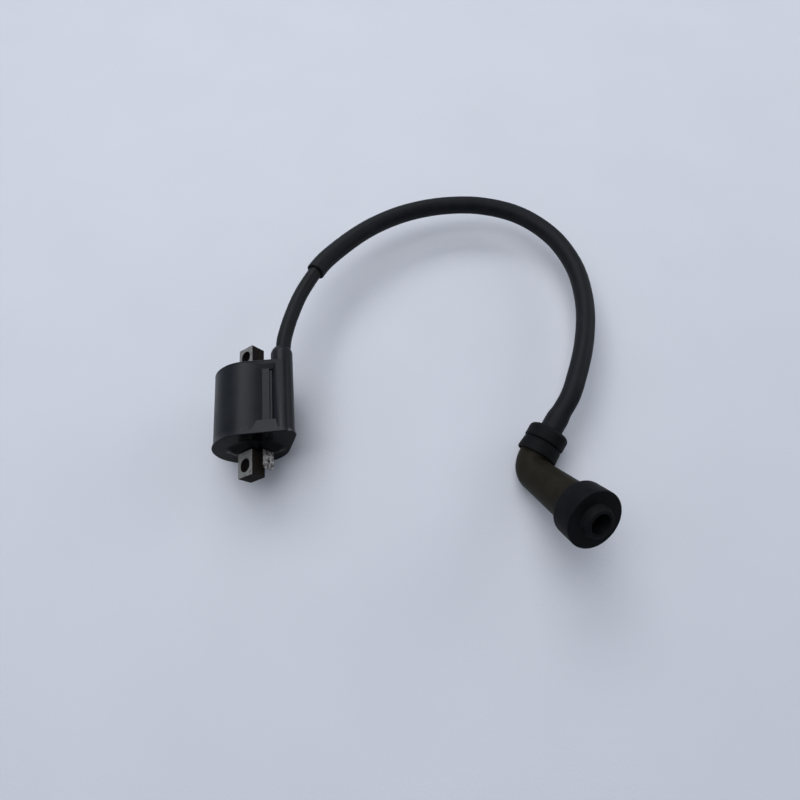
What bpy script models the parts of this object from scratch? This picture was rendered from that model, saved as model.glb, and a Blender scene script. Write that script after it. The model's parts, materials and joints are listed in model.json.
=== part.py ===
"""Ignition coil with its high-tension lead and elbow spark-plug cap.

Metres, +Z up. +Y runs along the core bar towards the lead, and the origin is under the coil's middle,
on the surface that it lies on. The coil is drawn in its own frame (X from the core to the lead tower,
Y along the core, Z along the bolt holes), which lies rolled on the round barrel.
"""
import math

import bmesh
import bpy
from mathutils import Matrix, Vector

MM = 0.001
FIT = 0.3 * MM  # gap between pieces that fit together

# Core bar, a stack of steel plates
CORE_LENGTH = 66.5 * MM
CORE_WIDTH = 8.8 * MM
CORE_STACK = 7.7 * MM
PLATE_THICKNESS = 0.55 * MM
PLATE_GROOVE = 0.12 * MM
HOLE_SETBACK = 5.25 * MM
HOLE_WIDTH = 5.6 * MM
HOLE_LENGTH = 6.4 * MM
LAND_STEP = 0.15 * MM
LAND_MARGIN = 0.5 * MM

# Housing: a barrel round the core and a tower for the lead
BARREL_RADIUS = 16.8 * MM
HOUSING_WALL = 2.0 * MM
END_PROUD = 0.2 * MM
LIP_PROUD = 0.4 * MM
LIP_WIDTH = 2.0 * MM
NEAR_LENGTH = 18.75 * MM
FAR_LENGTH = 17.5 * MM
BLOCK_LENGTH = 6.0 * MM
FAR_PLATE = 1.8 * MM
WEB_START = 3.0 * MM  # along the flank from where it leaves the end block's round
WEB_DEPTH = 1.7 * MM  # under the end block's flank
WEB_THICKNESS = 4.0 * MM
TOWER_STANDOFF = 3.2 * MM  # of the tower's axis from the barrel's surface
TOWER_RADIUS = 5.0 * MM
TOWER_REACH = 8.0 * MM
TOWER_ROUND = 0.6 * MM
COIL_ROLL = math.radians(34.3)

# Resin that closes the housing's open end
RESIN_RECESS = 0.2 * MM
RESIN_DEPTH = 4.8 * MM
MOUND_HEIGHT = 2.6 * MM
MOUND_MARGIN = 1.6 * MM
MOUND_DRAFT = 1.4 * MM
MOUND_CORNER = 3.0 * MM

# Blade terminal
BLADE_WIDTH = 6.3 * MM
BLADE_THICKNESS = 0.8 * MM
BLADE_STEP = 0.15 * MM
BLADE_REACH = 11.6 * MM
BLADE_POINT = 1.0 * MM
BLADE_HOLE = 1.7 * MM
BLADE_HOLE_SETBACK = 3.6 * MM
BLADE_GAP = 2.2 * MM
BLADE_DROP = 3.3 * MM

# Windings and bobbins
BOBBIN_LENGTH = 27.0 * MM
BOBBIN_FLANGE = 1.0 * MM
PRIMARY_WALL = 0.7 * MM
PRIMARY_SHARE = 0.32  # of the room that both windings have
SECONDARY_WALL = 0.8 * MM
SECONDARY_CHAMBERS = 5
RESIN_GAP = 0.6 * MM
EARTH_PLATE = 0.5 * MM
EARTH_RIM = 0.9 * MM

# High-tension contact in the tower
PIN_BASE = 1.5 * MM
SPIKE_RADIUS = 0.9 * MM
SPIKE_LENGTH = 8.0 * MM
LINK_RADIUS = 0.7 * MM

# Lead and sleeve
LEAD_DIAMETER = 7.0 * MM
LEAD_STEP = 2 * LEAD_DIAMETER
LEAD_LEAN = 0.5 * MM
LEAN_LENGTH = 10.0 * MM
SLEEVE_DIAMETER = 9.45 * MM
SLEEVE_WALL = 0.75 * MM
SLEEVE_SETBACK = 50.5 * MM
SLEEVE_FLARE = 1.122
FLARE_TAPER = 3.0 * MM

# Where the lead runs between the tower and the cap
LEAD_ROUTE = [
    (15.5, 30.4, 28.7),
    (16.7, 35.8, 28.4),
    (18.2, 41.2, 28.2),
    (19.8, 46.4, 27.8),
    (23.8, 57.0, 27.1),
    (29.0, 67.2, 26.3),
    (35.1, 77.1, 25.4),
    (46.8, 89.7, 23.9),
    (65.0, 104.3, 21.8),
    (85.5, 114.1, 19.8),
    (107.2, 118.4, 18.1),
    (128.7, 117.0, 16.8),
    (148.2, 108.5, 16.0),
    (162.7, 92.1, 15.8),
    (170.0, 69.9, 16.2),
    (169.4, 45.2, 17.0),
    (163.2, 22.0, 17.9),
    (154.2, 1.8, 18.2),
]

# Cap: an elbow with a leg for the lead and a leg for the plug, measured from where their axes meet
ELBOW_PLACE = (123.4, -39.3, 6.9)
ELBOW_ANGLE = math.radians(101.5)
CABLE_AZIMUTH = math.radians(50.6)
CABLE_RISE = math.radians(15.1)
CAP_ROLL = math.radians(-137.4)
ELBOW_BEND = 8.0 * MM
CABLE_LEG_RADIUS = 7.8 * MM
CABLE_LEG_LENGTH = 15.0 * MM
PLUG_LEG_RADIUS = 9.4 * MM
PLUG_LEG_SHOULDER = 35.7 * MM
PLUG_LEG_LENGTH = 43.0 * MM
SPIGOT_STEP = 0.4 * MM
CHAMBER_RADIUS = 6.6 * MM
CHAMBER_FLOOR = 24.0 * MM
STEM_BORE = 3.0 * MM
LEAD_STOP = 6.2 * MM

# Cap's rubber pieces
SEAL_RIM = 7.8 * MM
SEAL_END = 21.0 * MM
SEAL_WALL = 1.15 * MM
SEAL_GROOVE = 13.5 * MM
GROOVE_WIDTH = 0.8 * MM
GROOVE_DEPTH = 0.5 * MM
SEAL_ROUND = 1.8 * MM
NOSE_LENGTH = 7.3 * MM
NOSE_WALL = 0.4 * MM
BOOT_START = 36.2 * MM
BOOT_SHOULDER = 2.4 * MM
BOOT_INSET = 1.7 * MM
BOOT_RADIUS = 12.3 * MM
BOOT_FACE = 48.2 * MM
BOOT_FACE_RADIUS = 12.9 * MM
BOOT_FRONT_WALL = 2.0 * MM
BOOT_EDGE = 0.7 * MM
BOOT_CHAMBER = 7.0 * MM
COLLAR_HEIGHT = 3.6 * MM
COLLAR_WALL = 1.8 * MM
COLLAR_TAPER = 0.9 * MM
MOUTH_RADIUS = 4.5 * MM

# Cap's contacts
SCREW_RADIUS = 1.3 * MM
SCREW_LENGTH = 11.5 * MM
SCREW_HEAD_RADIUS = 2.3 * MM
SCREW_HEAD = 1.4 * MM
SCREW_SEAT = 2.6 * MM
SPRING_START = 2.5 * MM
SPRING_WIRE = 0.7 * MM
SPRING_TURNS = 4
RESISTOR_START = 8.4 * MM
RESISTOR_LENGTH = 12.0 * MM
SOCKET_RADIUS = 4.4 * MM
SOCKET_BORE = 3.4 * MM
SOCKET_LENGTH = 9.0 * MM
SOCKET_FLOOR = 1.2 * MM
CLIP_WIRE = 0.7 * MM
CLIP_SETBACK = 3.0 * MM
CLIP_GAP = math.radians(60.0)

# Roundness
BARREL_SIDES = 64
TOWER_SIDES = 32
TURNED_SIDES = 36
SMALL_SIDES = 16
SPRING_SIDES = 10
WIRE_SIDES = 6
LEAD_SIDES = 12
ELBOW_SIDES = 24
ELBOW_STEPS = 6
SHOULDER_STEPS = 5
CLIP_STEPS = 20
SHARP_ANGLE = math.radians(35.0)
WELD = 1e-7

# Sizes that follow from the ones above
LEAD_RADIUS = LEAD_DIAMETER / 2
LEAD_BORE = LEAD_RADIUS + FIT
CAVITY_RADIUS = BARREL_RADIUS - HOUSING_WALL
END_RADIUS = BARREL_RADIUS + END_PROUD
LIP_RADIUS = END_RADIUS + LIP_PROUD
TOWER_OFFSET = BARREL_RADIUS + TOWER_STANDOFF
TOWER_END_RADIUS = TOWER_RADIUS + END_PROUD
TOWER_LIP_RADIUS = TOWER_END_RADIUS + LIP_PROUD
TOWER_MOUTH = FAR_LENGTH + TOWER_REACH
CORE_RAISED = LIP_RADIUS
TOWER_SIDE = TOWER_OFFSET * math.cos(COIL_ROLL) + TOWER_LIP_RADIUS
CORE_SHIFT = (LIP_RADIUS - TOWER_SIDE) / 2
RESIN_FACE = -(NEAR_LENGTH - RESIN_RECESS)
RESIN_BACK = RESIN_FACE + RESIN_DEPTH
MOUND_FACE = RESIN_FACE - MOUND_HEIGHT
BLADE_SIDE = CORE_WIDTH / 2 + BLADE_GAP
BOBBIN_FAR = FAR_LENGTH - FAR_PLATE - 3 * FIT
BOBBIN_NEAR = BOBBIN_FAR - BOBBIN_LENGTH
PRIMARY_TUBE = math.hypot(CORE_WIDTH / 2 + FIT, CORE_STACK / 2 + FIT) + PRIMARY_WALL
SECONDARY_RIM = CAVITY_RADIUS - RESIN_GAP
SECONDARY_OUTER = SECONDARY_RIM - FIT
WINDING_ROOM = SECONDARY_OUTER - PRIMARY_TUBE - SECONDARY_WALL - 4 * FIT
PRIMARY_OUTER = PRIMARY_TUBE + FIT + WINDING_ROOM * PRIMARY_SHARE
PRIMARY_RIM = PRIMARY_OUTER + FIT
SECONDARY_INNER = PRIMARY_RIM + FIT
SECONDARY_TUBE = SECONDARY_INNER + SECONDARY_WALL
CHAMBER_PITCH = (BOBBIN_LENGTH - BOBBIN_FLANGE) / SECONDARY_CHAMBERS
LINK_PLACE = BOBBIN_FAR - BOBBIN_FLANGE - (CHAMBER_PITCH - BOBBIN_FLANGE) / 2
LEAD_SEAT = LINK_PLACE - PIN_BASE / 2
PIN_RADIUS = LEAD_BORE - FIT
CABLE_LEG_BORE = LEAD_BORE
SPIGOT_RADIUS = PLUG_LEG_RADIUS - SPIGOT_STEP
SEAL_RADIUS = CABLE_LEG_RADIUS + FIT + SEAL_WALL
NOSE_END = SEAL_END + NOSE_LENGTH
SLEEVE_END = SEAL_END + FIT


def clear_scene():
    for old in list(bpy.data.objects):
        bpy.data.objects.remove(old, do_unlink=True)


def material(name, colour, roughness, metallic=0.0):
    made = bpy.data.materials.new(name)
    made.use_nodes = True
    shader = made.node_tree.nodes["Principled BSDF"]
    shader.inputs["Base Color"].default_value = (*colour, 1.0)
    shader.inputs["Roughness"].default_value = roughness
    shader.inputs["Metallic"].default_value = metallic
    return made


def frame(name, matrix, parent=None):
    empty = bpy.data.objects.new(name, None)
    bpy.context.scene.collection.objects.link(empty)
    empty.parent = parent
    empty.matrix_local = matrix
    return empty


def solid(name, mesh, parent, finish):
    """Make a piece from a mesh, or a cutter where it has no finish."""
    piece = bpy.data.objects.new(name, mesh)
    bpy.context.scene.collection.objects.link(piece)
    piece.parent = parent
    if finish is None:
        piece.hide_render = True
        piece.display_type = "WIRE"
    else:
        mesh.materials.append(finish)
        mesh.shade_smooth()
        mesh.set_sharp_from_angle(angle=SHARP_ANGLE)
    return piece


def tool(name, mesh, parent):
    return solid(name, mesh, parent, None)


def combine(piece, other, operation):
    step = piece.modifiers.new(other.name, "BOOLEAN")
    step.operation = operation
    step.solver = "EXACT"
    step.object = other


def cut(piece, *cutters):
    for cutter in cutters:
        combine(piece, cutter, "DIFFERENCE")


def add(piece, *additions):
    for addition in additions:
        combine(piece, addition, "UNION")


def finish_mesh(name, shape):
    bmesh.ops.remove_doubles(shape, verts=shape.verts, dist=WELD)
    bmesh.ops.recalc_face_normals(shape, faces=shape.faces)
    mesh = bpy.data.meshes.new(name)
    shape.to_mesh(mesh)
    shape.free()
    return mesh


def turned(name, profile, sides=TURNED_SIDES, along_y=False):
    """Spin a profile of (radius, height) points about Z, or about Y for the coil's own pieces."""
    shape = bmesh.new()
    points = [shape.verts.new((radius, 0.0, height)) for radius, height in profile]
    lines = [shape.edges.new(pair) for pair in zip(points, points[1:])]
    if profile[0][0] > 0.0:
        lines.append(shape.edges.new((points[-1], points[0])))
    turn = 2 * math.pi
    bmesh.ops.spin(shape, geom=points + lines, axis=(0, 0, 1), angle=turn, steps=sides, use_merge=True)
    if along_y:
        bmesh.ops.rotate(shape, verts=shape.verts, matrix=Matrix.Rotation(-math.pi / 2, 3, "X"))
    return finish_mesh(name, shape)


def rod(name, radius, low, high, sides=SMALL_SIDES, along_y=False):
    return turned(name, [(0.0, low), (radius, low), (radius, high), (0.0, high)], sides, along_y)


def ring(name, inner, outer, low, high, sides=TURNED_SIDES, along_y=False):
    profile = [(inner, low), (outer, low), (outer, high), (inner, high)]
    return turned(name, profile, sides, along_y)


def prism(name, outline, low, high, taper=None):
    """Extrude an outline of (x, z) points along Y, drawn in to the outline taper at the high end."""
    shape = bmesh.new()
    base = shape.faces.new([shape.verts.new((x, low, z)) for x, z in outline])
    grown = bmesh.ops.extrude_face_region(shape, geom=[base])["geom"]
    moved = [item for item in grown if isinstance(item, bmesh.types.BMVert)]
    bmesh.ops.translate(shape, verts=moved, vec=(0.0, high - low, 0.0))
    if taper:
        ends = {point: end for point, end in zip(outline, taper)}
        for vert in moved:
            nearest = min(ends, key=lambda point: math.hypot(point[0] - vert.co.x, point[1] - vert.co.z))
            vert.co.x, vert.co.z = ends[nearest]
    return finish_mesh(name, shape)


def arc(centre_x, centre_z, radius, start, end, steps):
    angles = [start + (end - start) * i / steps for i in range(steps + 1)]
    return [(centre_x + radius * math.cos(a), centre_z + radius * math.sin(a)) for a in angles]


def rectangle(left, right, bottom, top):
    return [(left, bottom), (right, bottom), (right, top), (left, top)]


def rounded(left, right, bottom, top, corner):
    """Rectangle with round corners."""
    outline = []
    places = ((left, bottom, 1, 1), (right, bottom, -1, 1), (right, top, -1, -1), (left, top, 1, -1))
    for turn, (x, z, to_x, to_z) in enumerate(places):
        start = math.pi + turn * math.pi / 2
        outline += arc(x + to_x * corner, z + to_z * corner, corner, start, start + math.pi / 2, 4)
    return outline


def teardrop(big, small):
    """Outline round the barrel and the tower, joined by the two lines that touch both."""
    lean = math.pi / 2 - math.asin((big - small) / TOWER_OFFSET)
    barrel = arc(0.0, 0.0, big, lean, 2 * math.pi - lean, BARREL_SIDES * 5 // 8)
    tower = arc(TOWER_OFFSET, 0.0, small, -lean, lean, TOWER_SIDES * 3 // 8)
    return barrel + tower


def tube(name, points, radii, sides, caps=True):
    """Sweep a round section along points, with a radius at each of them."""
    curve = bpy.data.curves.new(name, "CURVE")
    curve.dimensions = "3D"
    curve.bevel_depth = 1.0
    curve.bevel_resolution = sides // 2 - 2
    curve.use_fill_caps = caps
    line = curve.splines.new("POLY")
    line.points.add(len(points) - 1)
    for place, point, radius in zip(line.points, points, radii):
        place.co = (*point, 1.0)
        place.radius = radius
    holder = bpy.data.objects.new(name, curve)
    bpy.context.scene.collection.objects.link(holder)
    view = bpy.context.evaluated_depsgraph_get()
    mesh = bpy.data.meshes.new_from_object(holder.evaluated_get(view))
    bpy.data.objects.remove(holder, do_unlink=True)
    bpy.data.curves.remove(curve)
    shape = bmesh.new()
    shape.from_mesh(mesh)
    bpy.data.meshes.remove(mesh)
    return finish_mesh(name, shape)


def core_window(name, low, high):
    half_width, half_stack = CORE_WIDTH / 2 + FIT, CORE_STACK / 2 + FIT
    return prism(name, rectangle(-half_width, half_width, -half_stack, half_stack), low, high)


def make_core(coil, steel):
    """Core bar whose sides show the plates, with a raised land round the bolt hole at each end."""
    half_width, half_stack = CORE_WIDTH / 2, CORE_STACK / 2
    plates = round(CORE_STACK / PLATE_THICKNESS)
    side = [(half_width, -half_stack)]
    for joint in range(1, plates):
        height = -half_stack + CORE_STACK * joint / plates
        side += [(half_width, height - PLATE_GROOVE / 2), (half_width - PLATE_GROOVE, height)]
        side += [(half_width, height + PLATE_GROOVE / 2)]
    side.append((half_width, half_stack))
    outline = side + [(-x, z) for x, z in reversed(side)]
    bar = prism("laminated_core", outline, -CORE_LENGTH / 2, CORE_LENGTH / 2)
    core = solid("laminated_core", bar, coil, steel)
    relief = (MOUND_FACE - LAND_MARGIN, FAR_LENGTH + LAND_MARGIN)
    for name, sign in (("upper", 1), ("lower", -1)):
        levels = sorted((sign * (half_stack - LAND_STEP), sign * (half_stack + LAND_STEP)))
        strip = rectangle(-CORE_WIDTH, CORE_WIDTH, *levels)
        cut(core, tool(f"core_relief_{name}", prism("core_relief", strip, *relief), coil))
    straight = (HOLE_LENGTH - HOLE_WIDTH) / 2
    for name, sign in (("near", -1), ("far", 1)):
        drill = tool(f"core_hole_{name}", slot("core_hole", HOLE_WIDTH / 2, straight, CORE_STACK), coil)
        drill.location.y = sign * (CORE_LENGTH / 2 - HOLE_SETBACK)
        cut(core, drill)


def slot(name, radius, straight, half_depth):
    """Upright slot along Y, round at both ends."""
    quarter = SMALL_SIDES // 2
    outline = [(x, straight + y) for x, y in arc(0.0, 0.0, radius, 0.0, math.pi, quarter)]
    outline += [(x, y - straight) for x, y in arc(0.0, 0.0, radius, math.pi, 2 * math.pi, quarter)]
    mesh = prism(name, outline, -half_depth, half_depth)
    mesh.transform(Matrix.Rotation(math.pi / 2, 4, "X"))
    return mesh


def make_housing(coil, plastic):
    """Moulded case: end block with a lip, barrel joined to the tower by webs, far plate and lead tower."""
    block_back = BLOCK_LENGTH - NEAR_LENGTH
    lip_back = LIP_WIDTH - NEAR_LENGTH
    block_front = lip_back - LIP_WIDTH / 2
    overlap = FAR_LENGTH - FAR_PLATE / 2
    lip = prism("coil_housing", teardrop(LIP_RADIUS, TOWER_LIP_RADIUS), -NEAR_LENGTH, lip_back)
    housing = solid("coil_housing", lip, coil, plastic)
    end_outline = teardrop(END_RADIUS, TOWER_END_RADIUS)
    block = prism("end_block", end_outline, block_front, block_back)
    plate = prism("far_plate", end_outline, FAR_LENGTH - FAR_PLATE, FAR_LENGTH)
    barrel = rod("barrel", BARREL_RADIUS, lip_back, overlap, BARREL_SIDES, along_y=True)
    tower_profile = [(0.0, lip_back), (TOWER_RADIUS, lip_back), (TOWER_RADIUS, TOWER_MOUTH - TOWER_ROUND)]
    tower_profile += [(TOWER_RADIUS - TOWER_ROUND * 0.3, TOWER_MOUTH - TOWER_ROUND * 0.3)]
    tower_profile += [(TOWER_RADIUS - TOWER_ROUND * 0.9, TOWER_MOUTH), (0.0, TOWER_MOUTH)]
    tower = tool("tower", turned("tower", tower_profile, TOWER_SIDES, along_y=True), coil)
    tower.location.x = TOWER_OFFSET
    additions = [tool("end_block", block, coil), tool("barrel", barrel, coil), tower]
    lean = math.asin((END_RADIUS - TOWER_END_RADIUS) / TOWER_OFFSET)
    for name, sign in (("upper", 1), ("lower", -1)):
        across = Vector((math.sin(lean), math.cos(lean)))
        along = Vector((math.cos(lean), -math.sin(lean)))
        level = across * (END_RADIUS - WEB_DEPTH)
        corners = [level + along * WEB_START, level + along * TOWER_OFFSET * math.cos(lean)]
        corners += [corner - across * WEB_THICKNESS for corner in reversed(corners)]
        web = prism("web", [(point.x, sign * point.y) for point in corners], lip_back, overlap)
        additions.append(tool(f"web_{name}", web, coil))
    additions.append(tool("far_plate", plate, coil))
    add(housing, *additions)

    cavity_floor = FAR_LENGTH - FAR_PLATE - FIT
    cavity = rod("cavity", CAVITY_RADIUS, -2 * NEAR_LENGTH, cavity_floor, BARREL_SIDES, along_y=True)
    outer_end, seat = TOWER_MOUTH + LEAN_LENGTH, LEAD_SEAT - FIT
    funnel = [(0.0, seat), (LEAD_BORE, seat), (LEAD_BORE, TOWER_MOUTH - LEAN_LENGTH)]
    funnel += [(LEAD_BORE + 2 * LEAD_LEAN, outer_end), (0.0, outer_end)]
    bore = tool("tower_bore", turned("tower_bore", funnel, TOWER_SIDES, along_y=True), coil)
    bore.location.x = TOWER_OFFSET
    link_hole = tool("link_hole", rod("link_hole", LINK_RADIUS + FIT, 0.0, TOWER_OFFSET), coil)
    link_hole.location.y = LINK_PLACE
    link_hole.rotation_euler.y = math.pi / 2
    window = core_window("core_window", 0.0, 2 * FAR_LENGTH)
    cut(housing, tool("cavity", cavity, coil), tool("core_window", window, coil), bore, link_hole)


def make_potting(coil, resin):
    """Resin disc in the housing's mouth, with a mound round the core and the blade."""
    face = rod("potting_fill", CAVITY_RADIUS - FIT, RESIN_FACE, RESIN_BACK, BARREL_SIDES, along_y=True)
    fill = solid("potting_fill", face, coil, resin)
    left = -CORE_WIDTH / 2 - FIT - MOUND_MARGIN
    right = BLADE_SIDE + BLADE_THICKNESS + FIT + MOUND_MARGIN
    bottom = -BLADE_DROP - BLADE_WIDTH / 2 - FIT - MOUND_MARGIN
    top = CORE_STACK / 2 + FIT + MOUND_MARGIN
    crown = rounded(left, right, bottom, top, MOUND_CORNER)
    foot = rounded(left - MOUND_DRAFT, right + MOUND_DRAFT, bottom - MOUND_DRAFT, top + MOUND_DRAFT,
                   MOUND_CORNER + MOUND_DRAFT)
    mound = prism("mound", foot, RESIN_FACE, MOUND_FACE, taper=crown)
    root = prism("mound_root", foot, RESIN_FACE + RESIN_DEPTH / 2, RESIN_FACE)
    add(fill, tool("mound_root", root, coil), tool("mound", mound, coil))
    blade_slot = rectangle(BLADE_SIDE - FIT, BLADE_SIDE + BLADE_THICKNESS + FIT,
                           -BLADE_DROP - BLADE_WIDTH / 2 - FIT, -BLADE_DROP + BLADE_WIDTH / 2 + FIT)
    through = (2 * MOUND_FACE, 0.0)
    cut(fill, tool("resin_core_window", core_window("resin_core_window", *through), coil))
    cut(fill, tool("blade_slot", prism("blade_slot", blade_slot, *through), coil))


def make_blade(coil, tin):
    """Tab with a pointed tip and a small latching hole, standing beside the core."""
    tip = RESIN_FACE - BLADE_REACH
    root = RESIN_BACK
    half = BLADE_WIDTH / 2
    outline = [(-half, root), (-half, tip + BLADE_POINT), (-half + BLADE_POINT, tip)]
    outline += [(half - BLADE_POINT, tip), (half, tip + BLADE_POINT), (half, root)]
    mesh = prism("blade_terminal", outline, 0.0, BLADE_THICKNESS)
    to_side = Matrix(((0, 1, 0, 0), (0, 0, 1, 0), (1, 0, 0, 0), (0, 0, 0, 1)))
    mesh.transform(to_side)
    blade = solid("blade_terminal", mesh, coil, tin)
    blade.location = (BLADE_SIDE, 0.0, -BLADE_DROP)
    hole = tool("blade_hole", rod("blade_hole", BLADE_HOLE / 2, -BLADE_WIDTH, BLADE_WIDTH), coil)
    hole.location = (BLADE_SIDE, tip + BLADE_HOLE_SETBACK, -BLADE_DROP)
    hole.rotation_euler.y = math.pi / 2
    held = rectangle(BLADE_THICKNESS - BLADE_STEP, 2 * BLADE_THICKNESS, -BLADE_WIDTH, BLADE_WIDTH)
    relief = tool("blade_relief", prism("blade_relief", held, MOUND_FACE - FIT, 0.0), coil)
    relief.location = blade.location
    cut(blade, hole, relief)


def make_windings(coil, plastic, copper, brass):
    """Primary and secondary coils on their bobbins, and the plate that earths the primary."""
    near_rim, far_rim = BOBBIN_NEAR + BOBBIN_FLANGE, BOBBIN_FAR - BOBBIN_FLANGE
    spool = [(0.0, BOBBIN_NEAR), (PRIMARY_RIM, BOBBIN_NEAR), (PRIMARY_RIM, near_rim)]
    spool += [(PRIMARY_TUBE, near_rim), (PRIMARY_TUBE, far_rim)]
    spool += [(PRIMARY_RIM, far_rim), (PRIMARY_RIM, BOBBIN_FAR), (0.0, BOBBIN_FAR)]
    primary = solid("primary_bobbin", turned("primary_bobbin", spool, along_y=True), coil, plastic)
    window = core_window("bobbin_window", -NEAR_LENGTH, FAR_LENGTH)
    cut(primary, tool("bobbin_window", window, coil))
    wire = (near_rim + FIT, far_rim - FIT)
    wound = ring("primary_winding", PRIMARY_TUBE + FIT, PRIMARY_OUTER, *wire, along_y=True)
    solid("primary_winding", wound, coil, copper)

    walls = []
    for chamber in range(SECONDARY_CHAMBERS):
        low = BOBBIN_NEAR + chamber * CHAMBER_PITCH
        walls += [(SECONDARY_RIM, low), (SECONDARY_RIM, low + BOBBIN_FLANGE)]
        walls += [(SECONDARY_TUBE, low + BOBBIN_FLANGE), (SECONDARY_TUBE, low + CHAMBER_PITCH)]
        section = f"secondary_winding_{chamber + 1}"
        wire = (low + BOBBIN_FLANGE + FIT, low + CHAMBER_PITCH - FIT)
        wound = ring(section, SECONDARY_TUBE + FIT, SECONDARY_OUTER, *wire, along_y=True)
        solid(section, wound, coil, copper)
    walls += [(SECONDARY_RIM, far_rim), (SECONDARY_RIM, BOBBIN_FAR)]
    spool = [(SECONDARY_INNER, BOBBIN_NEAR)] + walls + [(SECONDARY_INNER, BOBBIN_FAR)]
    solid("secondary_bobbin", turned("secondary_bobbin", spool, along_y=True), coil, plastic)

    plate_near = BOBBIN_NEAR - FIT - EARTH_PLATE
    rim = min(PRIMARY_TUBE - PRIMARY_WALL + EARTH_RIM, BLADE_SIDE - FIT)
    disc = rod("earth_plate", rim, plate_near, plate_near + EARTH_PLATE, TURNED_SIDES, along_y=True)
    earth = solid("earth_plate", disc, coil, brass)
    cut(earth, tool("earth_window", core_window("earth_window", -NEAR_LENGTH, 0.0), coil))


def make_high_tension(coil, brass):
    """Pin that the lead is pushed on to, and the link that feeds it from the last chamber."""
    spike_base = LEAD_SEAT + PIN_BASE
    spike_top = spike_base + SPIKE_LENGTH
    profile = [(0.0, LEAD_SEAT), (PIN_RADIUS, LEAD_SEAT), (PIN_RADIUS, spike_base)]
    profile += [(SPIKE_RADIUS, spike_base), (SPIKE_RADIUS, spike_top - 2 * SPIKE_RADIUS), (0.0, spike_top)]
    spike = turned("high_tension_pin", profile, SMALL_SIDES, along_y=True)
    pin = solid("high_tension_pin", spike, coil, brass)
    pin.location.x = TOWER_OFFSET
    reach = (SECONDARY_OUTER + FIT, TOWER_OFFSET - PIN_RADIUS - FIT)
    link = solid("high_tension_link", rod("high_tension_link", LINK_RADIUS, *reach), coil, brass)
    link.location.y = LINK_PLACE
    link.rotation_euler.y = math.pi / 2


def smooth_path(points, spacing):
    """Points at about the given spacing on a smooth curve through the route's own points."""
    padded = [points[0] * 2 - points[1]] + points + [points[-1] * 2 - points[-2]]
    path = [points[0]]
    for a, b, c, d in zip(padded, padded[1:], padded[2:], padded[3:]):
        steps = max(1, round((c - b).length / spacing))
        for step in range(1, steps + 1):
            path.append(rounded_step(a, b, c, d, step / steps))
    return path


def rounded_step(a, b, c, d, share):
    """Point at a share of the way from b to c, on a curve whose slopes allow for uneven spacing."""
    first, middle, last = (b - a).length, (c - b).length, (d - c).length
    leave = ((b - a) / first * middle + (c - b) / middle * first) / (first + middle)
    arrive = ((c - b) / middle * last + (d - c) / last * middle) / (middle + last)
    s, t = 1.0 - share, share
    bend = s * s * t * leave * middle - s * t * t * arrive * middle
    return b * (s * s * (1 + 2 * t)) + c * (t * t * (3 - 2 * t)) + bend


def split_path(path, distance):
    """Cut a path in two at a distance along it, both parts ending in the same point."""
    travelled = 0.0
    for index, (start, end) in enumerate(zip(path, path[1:])):
        span = (end - start).length
        if travelled + span > distance:
            middle = start.lerp(end, (distance - travelled) / span)
            return path[:index + 1] + [middle], [middle] + path[index + 1:]
        travelled += span
    return path, [path[-1]]


def path_length(path):
    return sum((end - start).length for start, end in zip(path, path[1:]))


def thinned(path):
    """Drop points that lie too close to the one before, apart from the two ends."""
    kept = [path[0]]
    for point in path[1:-1]:
        if (point - kept[-1]).length > LEAD_STEP / 2 and (path[-1] - point).length > LEAD_STEP / 2:
            kept.append(point)
    return kept + [path[-1]]


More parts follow.
